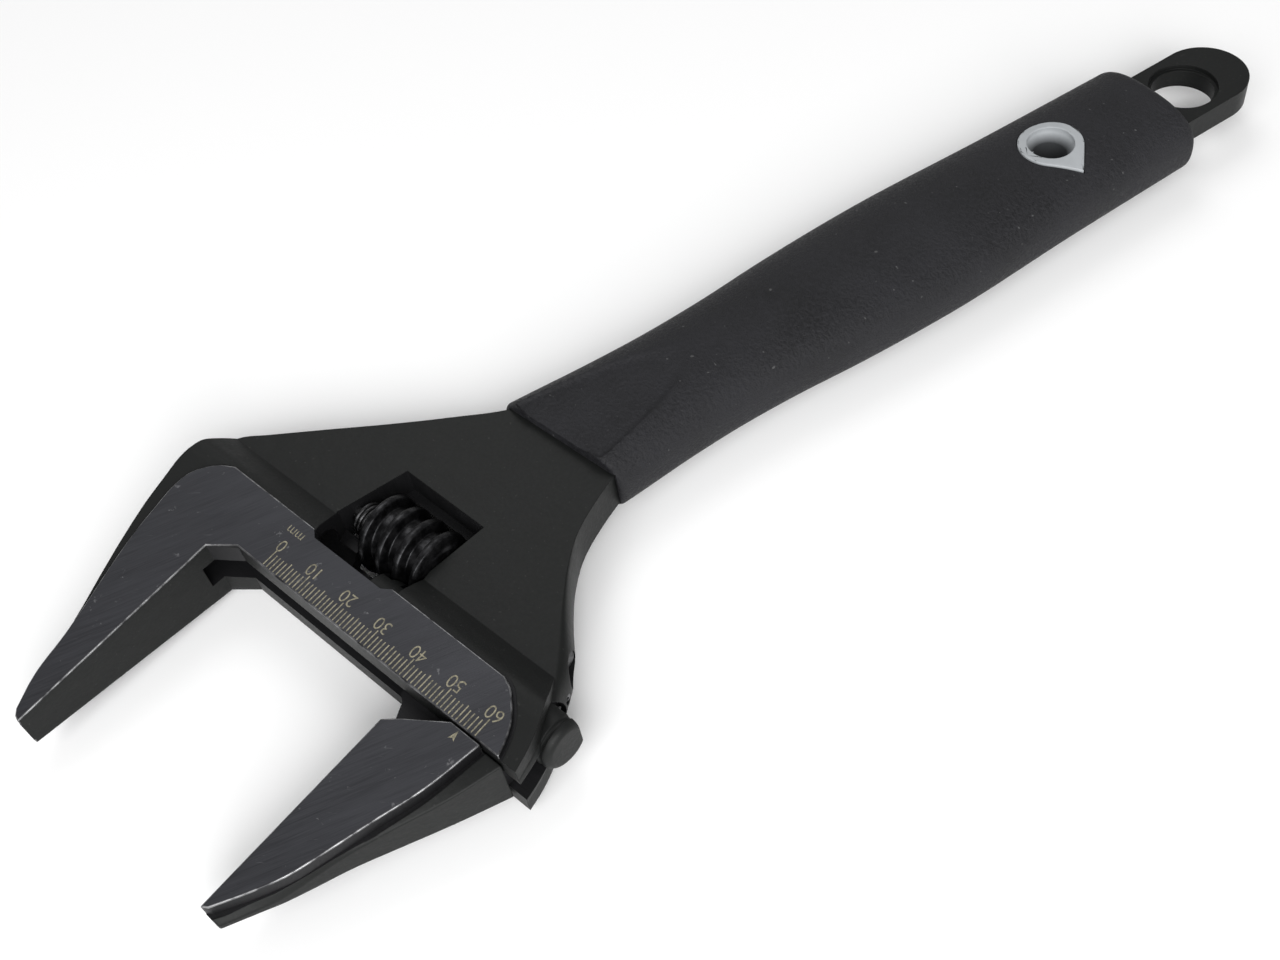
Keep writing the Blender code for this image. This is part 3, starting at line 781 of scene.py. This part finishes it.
def window_cutters():
    """Worm window: full in front, then with its lands, then with the floor below the bore."""
    upper = [
        (38.5, 21.4), (39.4, LAND_FAR_Y), (15.8, LAND_FAR_Y), (12.5, LAND_Y), (LAND_X, LAND_Y),
    ]
    middle = [(LAND_X, 11.2), (37.0, 11.2), (39.9, 12.9)] + upper
    back = [(LAND_X, FLOOR_Y), (39.1, FLOOR_Y)] + upper
    return [
        prism("window", WINDOW, LAND_Z, FAR, MACHINED),
        prism("window_middle", middle, FLOOR_Z, LAND_Z, MACHINED),
        prism("window_back", back, -FAR, FLOOR_Z, MACHINED),
    ]


def build_forged_body(materials):
    """Fixed jaw, head, scale bar, web, shank and hanging eye in one forging."""
    body = give(forging_blank("body", 0.0, 1.6, 48, 6), materials)
    soften(body, 1.8, 50.0, 6)
    add_ground_faces(body, materials)
    machine_slideway(body, materials)
    holes = window_cutters() + [
        cylinder_x("axle_hole", AXLE_R + 0.05, AXLE_START - 0.4, 90.0, WORM_Y, MACHINED),
        cylinder_x("recess", AXLE_HEAD_R + 0.05, AXLE_SHOULDER - 0.3, 90.0, WORM_Y, MACHINED),
        cylinder_x("pin_hole", PIN_R + 0.02, PIN_START - 0.2, 90.0, PIN_Y, MACHINED),
    ]
    eye = handle_point(EYE_S, 0.0)
    holes.append(prism("eye_hole", circle(EYE_R, 72, eye), -FAR, FAR, FORGED))
    for side in (1.0, -1.0):
        rim_floor = side * (EYE_HALF - EYE_RIM_DEPTH)
        holes.append(prism("eye_rim", circle(EYE_RIM_R, 72, eye), rim_floor, side * FAR, FORGED))
    tether = handle_point(GROMMET_S, 0.0)
    holes.append(prism("tether", circle(GROMMET_TUBE + FIT, 48, tether), -FAR, FAR, FORGED))
    for hole in holes:
        cut(body, give(hole, materials))
    settle(body, "wrench_body", 32.0, "frame", ["forged_body"])
    return body


# ---------------------------------------------------------------- movable jaw

def rack_teeth(rail, materials):
    """Slanted gaps along the top of the rail, cut to the worm's lead."""
    lean = PITCH / (2 * math.pi * (WORM_Y - RAIL_Y - RAIL_R + 1.0))
    reach = 7.0
    half_floor = 1.2
    half_mouth = 2.15
    mouth_y = RAIL_Y + RAIL_R + 0.8
    first = math.ceil((RAIL_START - CREST_X) / PITCH)
    last = math.floor((RAIL_END - CREST_X) / PITCH)
    for k in range(first, last):
        x = CREST_X + k * PITCH
        section = [
            (-half_floor, RACK_FLOOR), (half_floor, RACK_FLOOR), (half_mouth, mouth_y),
            (-half_mouth, mouth_y),
        ]
        rings = [[(x - lean * z + dx, y, z) for dx, y in section] for z in (-reach, reach)]
        cut(rail, give(rings_object("rack_gap", rings, MACHINED), materials))
    end_flat = [(RACK_END, RACK_FLOOR), (FAR * 4, RACK_FLOOR), (FAR * 4, FAR), (RACK_END, FAR)]
    cut(rail, give(prism("end_flat", end_flat, -FAR, FAR, FORGED), materials))


def jaw_core():
    """Movable jaw without its ground faces: six-sided sections from the shoulder to the tip."""
    rings = []
    for y, inner_x, inner_z, outer_x, outer_z in curve_through(JAW_RIM, 2.0):
        left = 8.0 if y > -7.2 else 0.0
        half = [(left, inner_z), (inner_x, inner_z), (outer_x, outer_z)]
        section = half + [(x, -z) for x, z in reversed(half)]
        rings.append([(OPENING + x, y, z) for x, z in section])
    return rings_object("jaw", rings, FORGED)


def rail_profile():
    """Rail from its hidden end to the end that stands out of the head, with a ring groove."""
    groove = RAIL_END - 2.6
    profile = [(RAIL_START, RAIL_R - 0.8), (RAIL_START + 0.8, RAIL_R), (groove, RAIL_R)]
    profile += [(groove + 0.25, RAIL_R - 0.5), (groove + 0.85, RAIL_R - 0.5)]
    shoulder = groove + 1.1
    rounding = RAIL_END - shoulder
    for i in range(9):
        angle = math.pi / 2 * i / 8
        radius = RAIL_R - 0.1 - rounding * (1.0 - math.cos(angle))
        profile.append((shoulder + rounding * math.sin(angle), radius))
    return profile


def build_movable_jaw(materials):
    """Jaw, neck and the round toothed rail."""
    def at_face(points):
        return [(OPENING + x, y) for x, y in points]

    jaw = give(jaw_core(), materials)
    soften(jaw, 0.35, 25.0, 3)
    for side, outer in ((1.0, JAW_PAD_FRONT), (-1.0, JAW_PAD_BACK)):
        outline = at_face(list(reversed(JAW_INNER)) + curve_through(list(reversed(outer)), 2.0))
        cut(jaw, pad_channel(outline, side, JAW_CHANNEL_WIDTH, JAW_CHANNEL_DEPTH, materials))
        join(jaw, ground_prism(outline, side, OPENING, materials))
    neck = prism("neck", at_face(NECK), -NECK_HALF, NECK_HALF, MACHINED)
    join(jaw, give(neck, materials))
    rail = give(lathe_x("rail", rail_profile(), RAIL_Y, 96, FORGED), materials)
    rack_teeth(rail, materials)
    join(jaw, rail)
    settle(jaw, "sliding_jaw", 32.0, "jaw", ["movable_jaw"])
    return jaw


# ---------------------------------------------------------------- worm, axle, spring, pin

def thread_height(axial):
    """Height of the worm's rounded thread above its root, by distance from the crest."""
    crest_half = 0.62
    root_half = 1.42
    away = abs((axial + PITCH / 2) % PITCH - PITCH / 2)
    share = min(1.0, max(0.0, (root_half - away) / (root_half - crest_half)))
    crown = 0.12 * min(1.0, away / crest_half) ** 2
    return (WORM_R - WORM_ROOT) * share * share * (3.0 - 2.0 * share) - crown * share


def build_worm(materials):
    around = 120
    along = 190
    step = (WORM_END - WORM_START) / along
    rings = []
    for i in range(along + 1):
        x = WORM_START + i * step
        from_end = min(x - WORM_START, WORM_END - x)
        chamfer = max(0.0, 0.7 - from_end)
        ring = []
        for j in range(around):
            turn = j / around
            crest = CREST_X + PITCH * (turn - 0.5)
            radius = min(WORM_ROOT + thread_height(x - crest), WORM_R) - chamfer
            angle = 2 * math.pi * turn
            ring.append((x, WORM_Y + radius * math.cos(angle), radius * math.sin(angle)))
        rings.append(ring)
    for x in (WORM_END, WORM_START):
        rings.append([(x, WORM_Y + a, b) for a, b in circle(WORM_BORE, around)])
    worm = give(tube_object("worm", rings), materials)
    return settle(worm, "thumb_worm", 50.0, "worm", ["worm_screw"])


def build_worm_axle(materials):
    head = AXLE_END - 0.5
    profile = [(AXLE_START, AXLE_R - 0.5), (AXLE_START + 0.5, AXLE_R), (AXLE_SHOULDER, AXLE_R)]
    profile += [(AXLE_SHOULDER, AXLE_HEAD_R), (head, AXLE_HEAD_R)]
    profile += [(head + 0.3, AXLE_HEAD_R - 0.12), (AXLE_END, AXLE_HEAD_R - 0.5)]
    axle = give(lathe_x("axle", profile, WORM_Y, 64), materials)
    section = ((-0.5, -4.0), (0.5, -4.0), (0.5, 4.0), (-0.5, 4.0))
    rings = [[(x, WORM_Y + y, z) for y, z in section] for x in (AXLE_END - 1.4, AXLE_END + 1.0)]
    cut(axle, give(rings_object("driver_slot", rings), materials))
    return settle(axle, "axle_screw", 35.0, "frame", ["worm_axle_screw"])


def coil_tree():
    """Round wire wound about X: radius, pitch, turns and wire size are inputs."""
    tree = bpy.data.node_groups.new("wound_wire", "GeometryNodeTree")
    face = tree.interface
    for name, kind in (("Radius", "NodeSocketFloat"), ("Length", "NodeSocketFloat"),
                       ("Turns", "NodeSocketFloat"), ("Wire", "NodeSocketFloat"),
                       ("Finish", "NodeSocketMaterial")):
        face.new_socket(name, in_out="INPUT", socket_type=kind)
    face.new_socket("Geometry", in_out="OUTPUT", socket_type="NodeSocketGeometry")
    nodes = tree.nodes
    link = tree.links.new
    given = nodes.new("NodeGroupInput")
    result = nodes.new("NodeGroupOutput")
    spiral = nodes.new("GeometryNodeCurveSpiral")
    spiral.inputs["Resolution"].default_value = 40
    link(given.outputs["Turns"], spiral.inputs["Rotations"])
    link(given.outputs["Radius"], spiral.inputs["Start Radius"])
    link(given.outputs["Radius"], spiral.inputs["End Radius"])
    link(given.outputs["Length"], spiral.inputs["Height"])
    wire = nodes.new("GeometryNodeCurvePrimitiveCircle")
    wire.inputs["Resolution"].default_value = 16
    link(given.outputs["Wire"], wire.inputs["Radius"])
    sweep = nodes.new("GeometryNodeCurveToMesh")
    sweep.inputs["Fill Caps"].default_value = True
    link(spiral.outputs["Curve"], sweep.inputs["Curve"])
    link(wire.outputs["Curve"], sweep.inputs["Profile Curve"])
    solid = nodes.new("GeometryNodeRealizeInstances")
    link(sweep.outputs["Mesh"], solid.inputs["Geometry"])
    coat = nodes.new("GeometryNodeSetMaterial")
    link(solid.outputs["Geometry"], coat.inputs["Geometry"])
    link(given.outputs["Finish"], coat.inputs["Material"])
    link(coat.outputs["Geometry"], result.inputs["Geometry"])
    return tree


def run_tree(name, tree, values):
    """Object whose plain mesh is what a node tree makes from the named values."""
    obj = bpy.data.objects.new(name, bpy.data.meshes.new(name))
    bpy.context.scene.collection.objects.link(obj)
    mod = obj.modifiers.new("grow", "NODES")
    mod.node_group = tree
    for item in tree.interface.items_tree:
        if item.item_type == "SOCKET" and item.in_out == "INPUT" and item.name in values:
            mod[item.identifier] = values[item.name]
    return apply_modifiers(obj)


def build_worm_spring(material):
    """Compression spring that takes the play out of the worm."""
    low = node_side("worm_spring", 0, False) + SPRING_WIRE
    high = node_side("worm_spring", 0, True) - SPRING_WIRE
    values = {
        "Radius": SPRING_R * MM, "Length": (high - low) * MM, "Turns": float(SPRING_TURNS),
        "Wire": SPRING_WIRE * MM, "Finish": material,
    }
    spring = run_tree("spring", coil_tree(), values)
    upright_to_x = Matrix.Rotation(math.pi / 2, 4, "Y")
    place = Vector(frame_place((low, WORM_Y, 0.0)))
    spring.data.transform(Matrix.Translation(place) @ upright_to_x)
    return settle(spring, "worm_take_up_spring", 40.0, "frame", ["worm_spring"])


def build_stop_pin(materials):
    dimple = PIN_R * 0.45
    profile = [(PIN_START, PIN_R - 0.2), (PIN_START + 0.2, PIN_R), (PIN_END - 0.3, PIN_R)]
    profile += [(PIN_END - 0.08, PIN_R - 0.12), (PIN_END, PIN_R - 0.3), (PIN_END, dimple)]
    profile.append((PIN_END - 0.5, dimple * 0.8))
    pin = give(lathe_x("pin", profile, PIN_Y, 40), materials)
    return settle(pin, "jaw_travel_pin", 35.0, "frame", ["jaw_stop_pin"])


# ---------------------------------------------------------------- grip and tether liner

def facet_height(s):
    """Height of the flat thumb facet at the front of the grip."""
    rise = (GRIP_B - FACET_LOW) / FACET_LENGTH
    return FACET_LOW + rise * (s - GRIP_FRONT_Y)


def below_facet(height, facet):
    """Height of the skin: under the facet it drops to it, and past a small ledge."""
    over = height - facet
    if over <= 0.0:
        return height
    share = min(1.0, over / LEDGE_RUN)
    return facet - LEDGE * share * share * (3.0 - 2.0 * share)


def grip_ring(share, shrink, grow, around, width_table, faceted):
    ring = []
    for i in range(around):
        angle = 2 * math.pi * i / around
        c = math.cos(angle)
        q = math.sin(angle)
        unit_w = math.copysign(abs(c) ** GRIP_POWER, c)
        unit_z = math.copysign(abs(q) ** GRIP_POWER, q)
        nominal = GRIP_FRONT_Y + share * (GRIP_END - GRIP_FRONT_Y)
        w = unit_w * (interpolate(width_table, nominal) + grow - shrink)
        front = (GRIP_FRONT_Y + w * math.sin(HANDLE_ANGLE)) / math.cos(HANDLE_ANGLE)
        s = front + share * (GRIP_END - front)
        taper = 0.6 * max(0.0, share - 0.5)
        height = abs(unit_z) * (GRIP_B - taper + grow - shrink)
        if faceted:
            height = max(0.0, below_facet(height, facet_height(s)))
        x, y = handle_point(s, w)
        ring.append((x, y, math.copysign(height, unit_z)))
    return ring


def grip_shell(name, grow, around, along, faceted):
    """Outside of the grip, grown by grow; its front edge is parallel to the scale bar."""
    width_table = smooth_table(GRIP_WIDTH)
    front_round = 1.0
    end_round = 2.6
    length = GRIP_END - GRIP_FRONT_Y
    stations = []
    for i in range(7):
        angle = math.pi / 2 * i / 6
        reach = front_round * (1.0 - math.cos(angle))
        stations.append((reach / length, front_round * (1.0 - math.sin(angle))))
    inner_start = front_round / length
    inner_end = 1.0 - end_round / length
    for i in range(1, along):
        stations.append((inner_start + (inner_end - inner_start) * i / along, 0.0))
    for i in range(9):
        angle = math.pi / 2 * i / 8
        reach = end_round * math.sin(angle)
        stations.append((inner_end + reach / length, end_round * (1.0 - math.cos(angle))))
    rings = [grip_ring(share, shrink, grow, around, width_table, faceted)
             for share, shrink in stations]
    return rings_object(name, rings)


def teardrop(grow, steps):
    """Teardrop in plan whose point is on the handle's right."""
    radius = GROMMET_R + grow
    reach = GROMMET_POINT + 1.4 * grow
    tangent = math.acos(radius / reach)
    points = [handle_point(GROMMET_S, reach)]
    for i in range(steps + 1):
        angle = tangent + (2 * math.pi - 2 * tangent) * i / steps
        points.append(handle_point(GROMMET_S + radius * math.sin(angle),
                                   radius * math.cos(angle)))
    return points


def mark_facet(grip):
    """Give the thumb facet on the front its own coarser finish, whose darker colour is painted
    shade.
    """
    for polygon in grip.data.polygons:
        x, y, z = (value / MM for value in polygon.center)
        s = (x - HANDLE_X) * math.sin(HANDLE_ANGLE) + y * math.cos(HANDLE_ANGLE)
        drop = abs(abs(z) - facet_height(s) + LEDGE)
        if s < GRIP_FRONT_Y + FACET_LENGTH and drop < 0.15 and abs(polygon.normal.z) > 0.9:
            polygon.material_index = 1


def build_grip(materials):
    grip = give(grip_shell("grip", 0.0, 160, 250, True), materials)
    mark_facet(grip)
    cut(grip, give(forging_blank("pocket", FIT, 3.0, 24, 3), materials))
    centre = handle_point(GROMMET_S, 0.0)
    tube = circle(GROMMET_TUBE + 0.2, 64, centre)
    cut(grip, give(prism("tube_hole", tube, -FAR, FAR), materials))
    for side in (1.0, -1.0):
        seat = prism("flange_seat", teardrop(0.2, 60), side * (FLANGE_Z - 0.2), side * FAR)
        cut(grip, give(seat, materials))
    return settle(grip, "rubber_grip", 40.0, "frame", ["grip_sleeve"])


def build_grommet(materials):
    """Teardrop-flanged liner of the tether hole through the grip."""
    centre = handle_point(GROMMET_S, 0.0)
    around = 72
    liner = give(prism("liner", teardrop(0.0, 60), -FAR, FAR), materials)
    keep_inside(liner, give(grip_shell("envelope", 0.4, 96, 90, False), materials))
    wide = circle(30.0, around, centre)
    waist = prism("waist", wide, -FLANGE_Z, FLANGE_Z)
    cut(waist, prism("tube", circle(GROMMET_TUBE, around, centre), -FAR, FAR))
    cut(liner, give(waist, materials))
    mouth = GROMMET_HOLE + 1.3
    lip = GRIP_B - 1.2
    levels = [(-12.0, mouth), (-lip, mouth), (-FLANGE_Z, GROMMET_HOLE), (FLANGE_Z, GROMMET_HOLE)]
    levels += [(lip, mouth), (12.0, mouth)]
    rings = [[(*p, z) for p in circle(r, around, centre)] for z, r in levels]
    cut(liner, give(rings_object("hole", rings), materials))
    soften(liner, 0.3, 50.0, 3, clamp=False)
    return settle(liner, "tether_liner", 40.0, "frame", ["tether_grommet"])


# ---------------------------------------------------------------- millimetre scale

def tick_tree():
    """A row of scale lines along X, longer at every fifth and tenth."""
    tree = bpy.data.node_groups.new("scale_lines", "GeometryNodeTree")
    face = tree.interface
    for name, kind in (("Count", "NodeSocketInt"), ("Gap", "NodeSocketFloat"),
                       ("Line Width", "NodeSocketFloat"), ("Line Length", "NodeSocketFloat"),
                       ("Thickness", "NodeSocketFloat"), ("Finish", "NodeSocketMaterial")):
        face.new_socket(name, in_out="INPUT", socket_type=kind)
    face.new_socket("Geometry", in_out="OUTPUT", socket_type="NodeSocketGeometry")
    nodes = tree.nodes
    link = tree.links.new

    def maths(operation, first, second):
        node = nodes.new("ShaderNodeMath")
        node.operation = operation
        for socket, value in zip(node.inputs, (first, second)):
            if isinstance(value, float):
                socket.default_value = value
            else:
                link(value, socket)
        return node.outputs[0]

    given = nodes.new("NodeGroupInput")
    result = nodes.new("NodeGroupOutput")
    row = nodes.new("GeometryNodeMeshLine")
    link(given.outputs["Count"], row.inputs["Count"])
    offset = nodes.new("ShaderNodeCombineXYZ")
    link(given.outputs["Gap"], offset.inputs["X"])
    link(offset.outputs[0], row.inputs["Offset"])
    index = nodes.new("GeometryNodeInputIndex").outputs[0]
    at_fifth = maths("LESS_THAN", maths("MODULO", index, 5.0), 0.5)
    at_tenth = maths("LESS_THAN", maths("MODULO", index, 10.0), 0.5)
    stretch = maths("ADD", maths("MULTIPLY", at_fifth, 0.14), maths("MULTIPLY", at_tenth, 0.14))
    stretch = maths("ADD", stretch, 1.0)
    bar = nodes.new("GeometryNodeMeshCube")
    size = nodes.new("ShaderNodeCombineXYZ")
    link(given.outputs["Line Width"], size.inputs["X"])
    link(given.outputs["Line Length"], size.inputs["Y"])
    link(given.outputs["Thickness"], size.inputs["Z"])
    link(size.outputs[0], bar.inputs["Size"])
    lift = nodes.new("GeometryNodeTransform")
    half = nodes.new("ShaderNodeCombineXYZ")
    link(maths("MULTIPLY", given.outputs["Line Length"], 0.5), half.inputs["Y"])
    link(bar.outputs["Mesh"], lift.inputs["Geometry"])
    link(half.outputs[0], lift.inputs["Translation"])
    scale = nodes.new("ShaderNodeCombineXYZ")
    scale.inputs["X"].default_value = 1.0
    scale.inputs["Z"].default_value = 1.0
    link(stretch, scale.inputs["Y"])
    place = nodes.new("GeometryNodeInstanceOnPoints")
    link(row.outputs["Mesh"], place.inputs["Points"])
    link(lift.outputs["Geometry"], place.inputs["Instance"])
    link(scale.outputs[0], place.inputs["Scale"])
    solid = nodes.new("GeometryNodeRealizeInstances")
    link(place.outputs["Instances"], solid.inputs["Geometry"])
    coat = nodes.new("GeometryNodeSetMaterial")
    link(solid.outputs["Geometry"], coat.inputs["Geometry"])
    link(given.outputs["Finish"], coat.inputs["Material"])
    link(coat.outputs["Geometry"], result.inputs["Geometry"])
    return tree


def lay_on_pad(obj, x, y):
    """Turn a flat mesh to the ground face's tilt and put its origin there."""
    tilt = Matrix.Rotation(math.atan(FACE_SLOPE), 4, "X")
    place = Vector(frame_place((x, y, face_half(y))))
    obj.data.transform(Matrix.Translation(place) @ tilt)


def build_scale_lines(material):
    values = {
        "Count": SCALE_COUNT, "Gap": MM, "Line Width": TICK_WIDTH * MM, "Line Length": 3.0 * MM,
        "Thickness": ENGRAVING * MM, "Finish": material,
    }
    lines = run_tree("lines", tick_tree(), values)
    lay_on_pad(lines, SCALE_X, TICK_LOW)
    return settle(lines, "scale_lines", 30.0, "frame", [])


def flat_numeral(text, height, x, y, material):
    """Generic numeral laid on the pad, to be read with the jaws pointing up."""
    letters = bpy.data.curves.new("numeral", "FONT")
    letters.body = text
    letters.size = height * MM / 0.73
    letters.align_x = "CENTER"
    letters.align_y = "CENTER"
    letters.extrude = ENGRAVING * MM / 2
    letters.offset = -0.012 * height * MM
    obj = bpy.data.objects.new("numeral", letters)
    bpy.context.scene.collection.objects.link(obj)
    mesh = bpy.data.meshes.new_from_object(obj.evaluated_get(bpy.context.evaluated_depsgraph_get()))
    bpy.data.objects.remove(obj, do_unlink=True)
    numeral = bpy.data.objects.new("numeral", mesh)
    bpy.context.scene.collection.objects.link(numeral)
    numeral.data.materials.clear()
    numeral.data.materials.append(material)
    numeral.data.transform(Matrix.Rotation(math.pi, 4, "Z"))
    lay_on_pad(numeral, x, y)
    return numeral


def merge_objects(parts):
    """One object from several; the first one's materials are kept."""
    bm = bmesh.new()
    for part in parts:
        bm.from_mesh(part.data)
    bmesh.ops.remove_doubles(bm, verts=bm.verts, dist=0.001 * MM)
    bm.to_mesh(parts[0].data)
    bm.free()
    for part in parts[1:]:
        bpy.data.objects.remove(part, do_unlink=True)
    return parts[0]


def build_scale_numerals(material):
    parts = []
    for tens in range(0, SCALE_COUNT, 10):
        parts.append(flat_numeral(str(tens), DIGIT_HEIGHT, SCALE_X + tens, DIGIT_Y, material))
    parts.append(flat_numeral("mm", 0.8 * DIGIT_HEIGHT, SCALE_X, DIGIT_Y + 3.4, material))
    numerals = merge_objects(parts)
    return settle(numerals, "scale_numerals", 30.0, "frame", [])


def build_pointer(material):
    """Small arrow on the movable jaw that points at the scale."""
    half_width = 0.7
    tip_y = JAW_TOP - 0.5
    base_y = tip_y - 2.1
    x = OPENING + 13.4
    outline = [(x, tip_y), (x - half_width, base_y), (x, base_y + 0.5), (x + half_width, base_y)]
    thin = ENGRAVING / 2
    arrow = prism("arrow", outline, lambda y: face_half(y) - thin, lambda y: face_half(y) + thin)
    give(arrow, [material])
    return settle(arrow, "jaw_pointer", 30.0, "jaw", [])


# ---------------------------------------------------------------- studio

CAMERA_TARGET = Vector((0.0539, 0.0907, 0.0))
CAMERA_DISTANCE = 0.3065
CAMERA_HEADING = math.radians(-50.86)   # from +Y towards +X
CAMERA_DROP = math.radians(51.73)       # below the horizon
CAMERA_ROLL = math.radians(-11.28)
CAMERA_LENS = 42.63
WORLD_STRENGTH = 0.34
FLOOR_SIDE = 3.0                        # half the floor's width, in metres
FLOOR_GAP = 0.0001                      # the floor lies this far below the wrench
SOFT_LIGHTS = [                         # name, place, power, size
    ("side_light", (0.95, -0.45, 0.75), 14.0, 0.8),
    ("near_light", (0.30, -0.90, 0.85), 7.5, 0.8),
    ("far_light", (-0.55, 0.55, 0.95), 2.5, 0.6),
]


def add_camera():
    level = math.cos(CAMERA_DROP)
    forward = Vector((math.sin(CAMERA_HEADING) * level, math.cos(CAMERA_HEADING) * level,
                      -math.sin(CAMERA_DROP)))
    side = forward.cross(Vector((0.0, 0.0, 1.0))).normalized()
    above = side.cross(forward)
    right = side * math.cos(CAMERA_ROLL) + above * math.sin(CAMERA_ROLL)
    up = right.cross(forward)
    data = bpy.data.cameras.new("camera")
    data.lens = CAMERA_LENS
    data.clip_start = 0.01
    camera = bpy.data.objects.new("camera", data)
    turn = Matrix((right, up, -forward)).transposed().to_4x4()
    camera.matrix_world = Matrix.Translation(CAMERA_TARGET - forward * CAMERA_DISTANCE) @ turn
    bpy.context.scene.collection.objects.link(camera)
    bpy.context.scene.camera = camera


def add_soft_light(name, place, power, size):
    data = bpy.data.lights.new(name, "AREA")
    data.energy = power
    data.size = size
    light = bpy.data.objects.new(name, data)
    light.location = place
    aim = CAMERA_TARGET - Vector(place)
    light.rotation_euler = aim.to_track_quat("-Z", "Y").to_euler()
    bpy.context.scene.collection.objects.link(light)


def add_studio():
    """Even white surroundings, three soft lights and the pale floor."""
    scene = bpy.context.scene
    scene.view_settings.view_transform = "Standard"
    world = bpy.data.worlds.new("studio")
    world.use_nodes = True
    background = world.node_tree.nodes["Background"]
    background.inputs["Color"].default_value = (1.0, 1.0, 1.0, 1.0)
    background.inputs["Strength"].default_value = WORLD_STRENGTH
    scene.world = world
    for name, place, power, size in SOFT_LIGHTS:
        add_soft_light(name, place, power, size)
    side = FLOOR_SIDE
    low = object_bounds()[0][2] - FLOOR_GAP
    mesh = bpy.data.meshes.new("floor")
    corners = [(-side, -side, low), (side, -side, low), (side, side, low), (-side, side, low)]
    mesh.from_pydata(corners, [], [(0, 1, 2, 3)])
    floor = bpy.data.objects.new("floor", mesh)
    mesh.materials.append(pale_floor())
    scene.collection.objects.link(floor)


# ---------------------------------------------------------------- build

def main():
    add_camera()
    steel = [forged_black(), ground_steel(), worn_edge(), machined_black()]
    build_forged_body(steel)
    build_movable_jaw(steel)
    build_worm([worm_steel()])
    build_worm_axle([bright_steel("axle_steel", 0.05, 0.14)])
    build_worm_spring(bright_steel("spring_wire_steel", 0.03, 0.08))
    build_stop_pin([bright_steel("pin_steel", 0.08, 0.24)])
    skin = grip_rubber("grip_rubber", (0.0045, 0.0045, 0.0057), (0.0125, 0.0125, 0.0150),
                       (0.024, 0.024, 0.0275), 0.13)
    # The facet rubber is the grip rubber with a coarser grain and a darker colour; the darker
    # colour is painted shade.
    facet = grip_rubber("facet_rubber_painted_shade", (0.0020, 0.0020, 0.0027), (0.0042, 0.0042, 0.0055),
                        (0.0125, 0.0125, 0.0145), 0.18)
    build_grip([skin, facet])
    build_grommet([grey_plastic()])
    paint = engraving_paint()
    build_scale_lines(paint)
    build_scale_numerals(paint)
    build_pointer(paint)
    add_studio()


main()
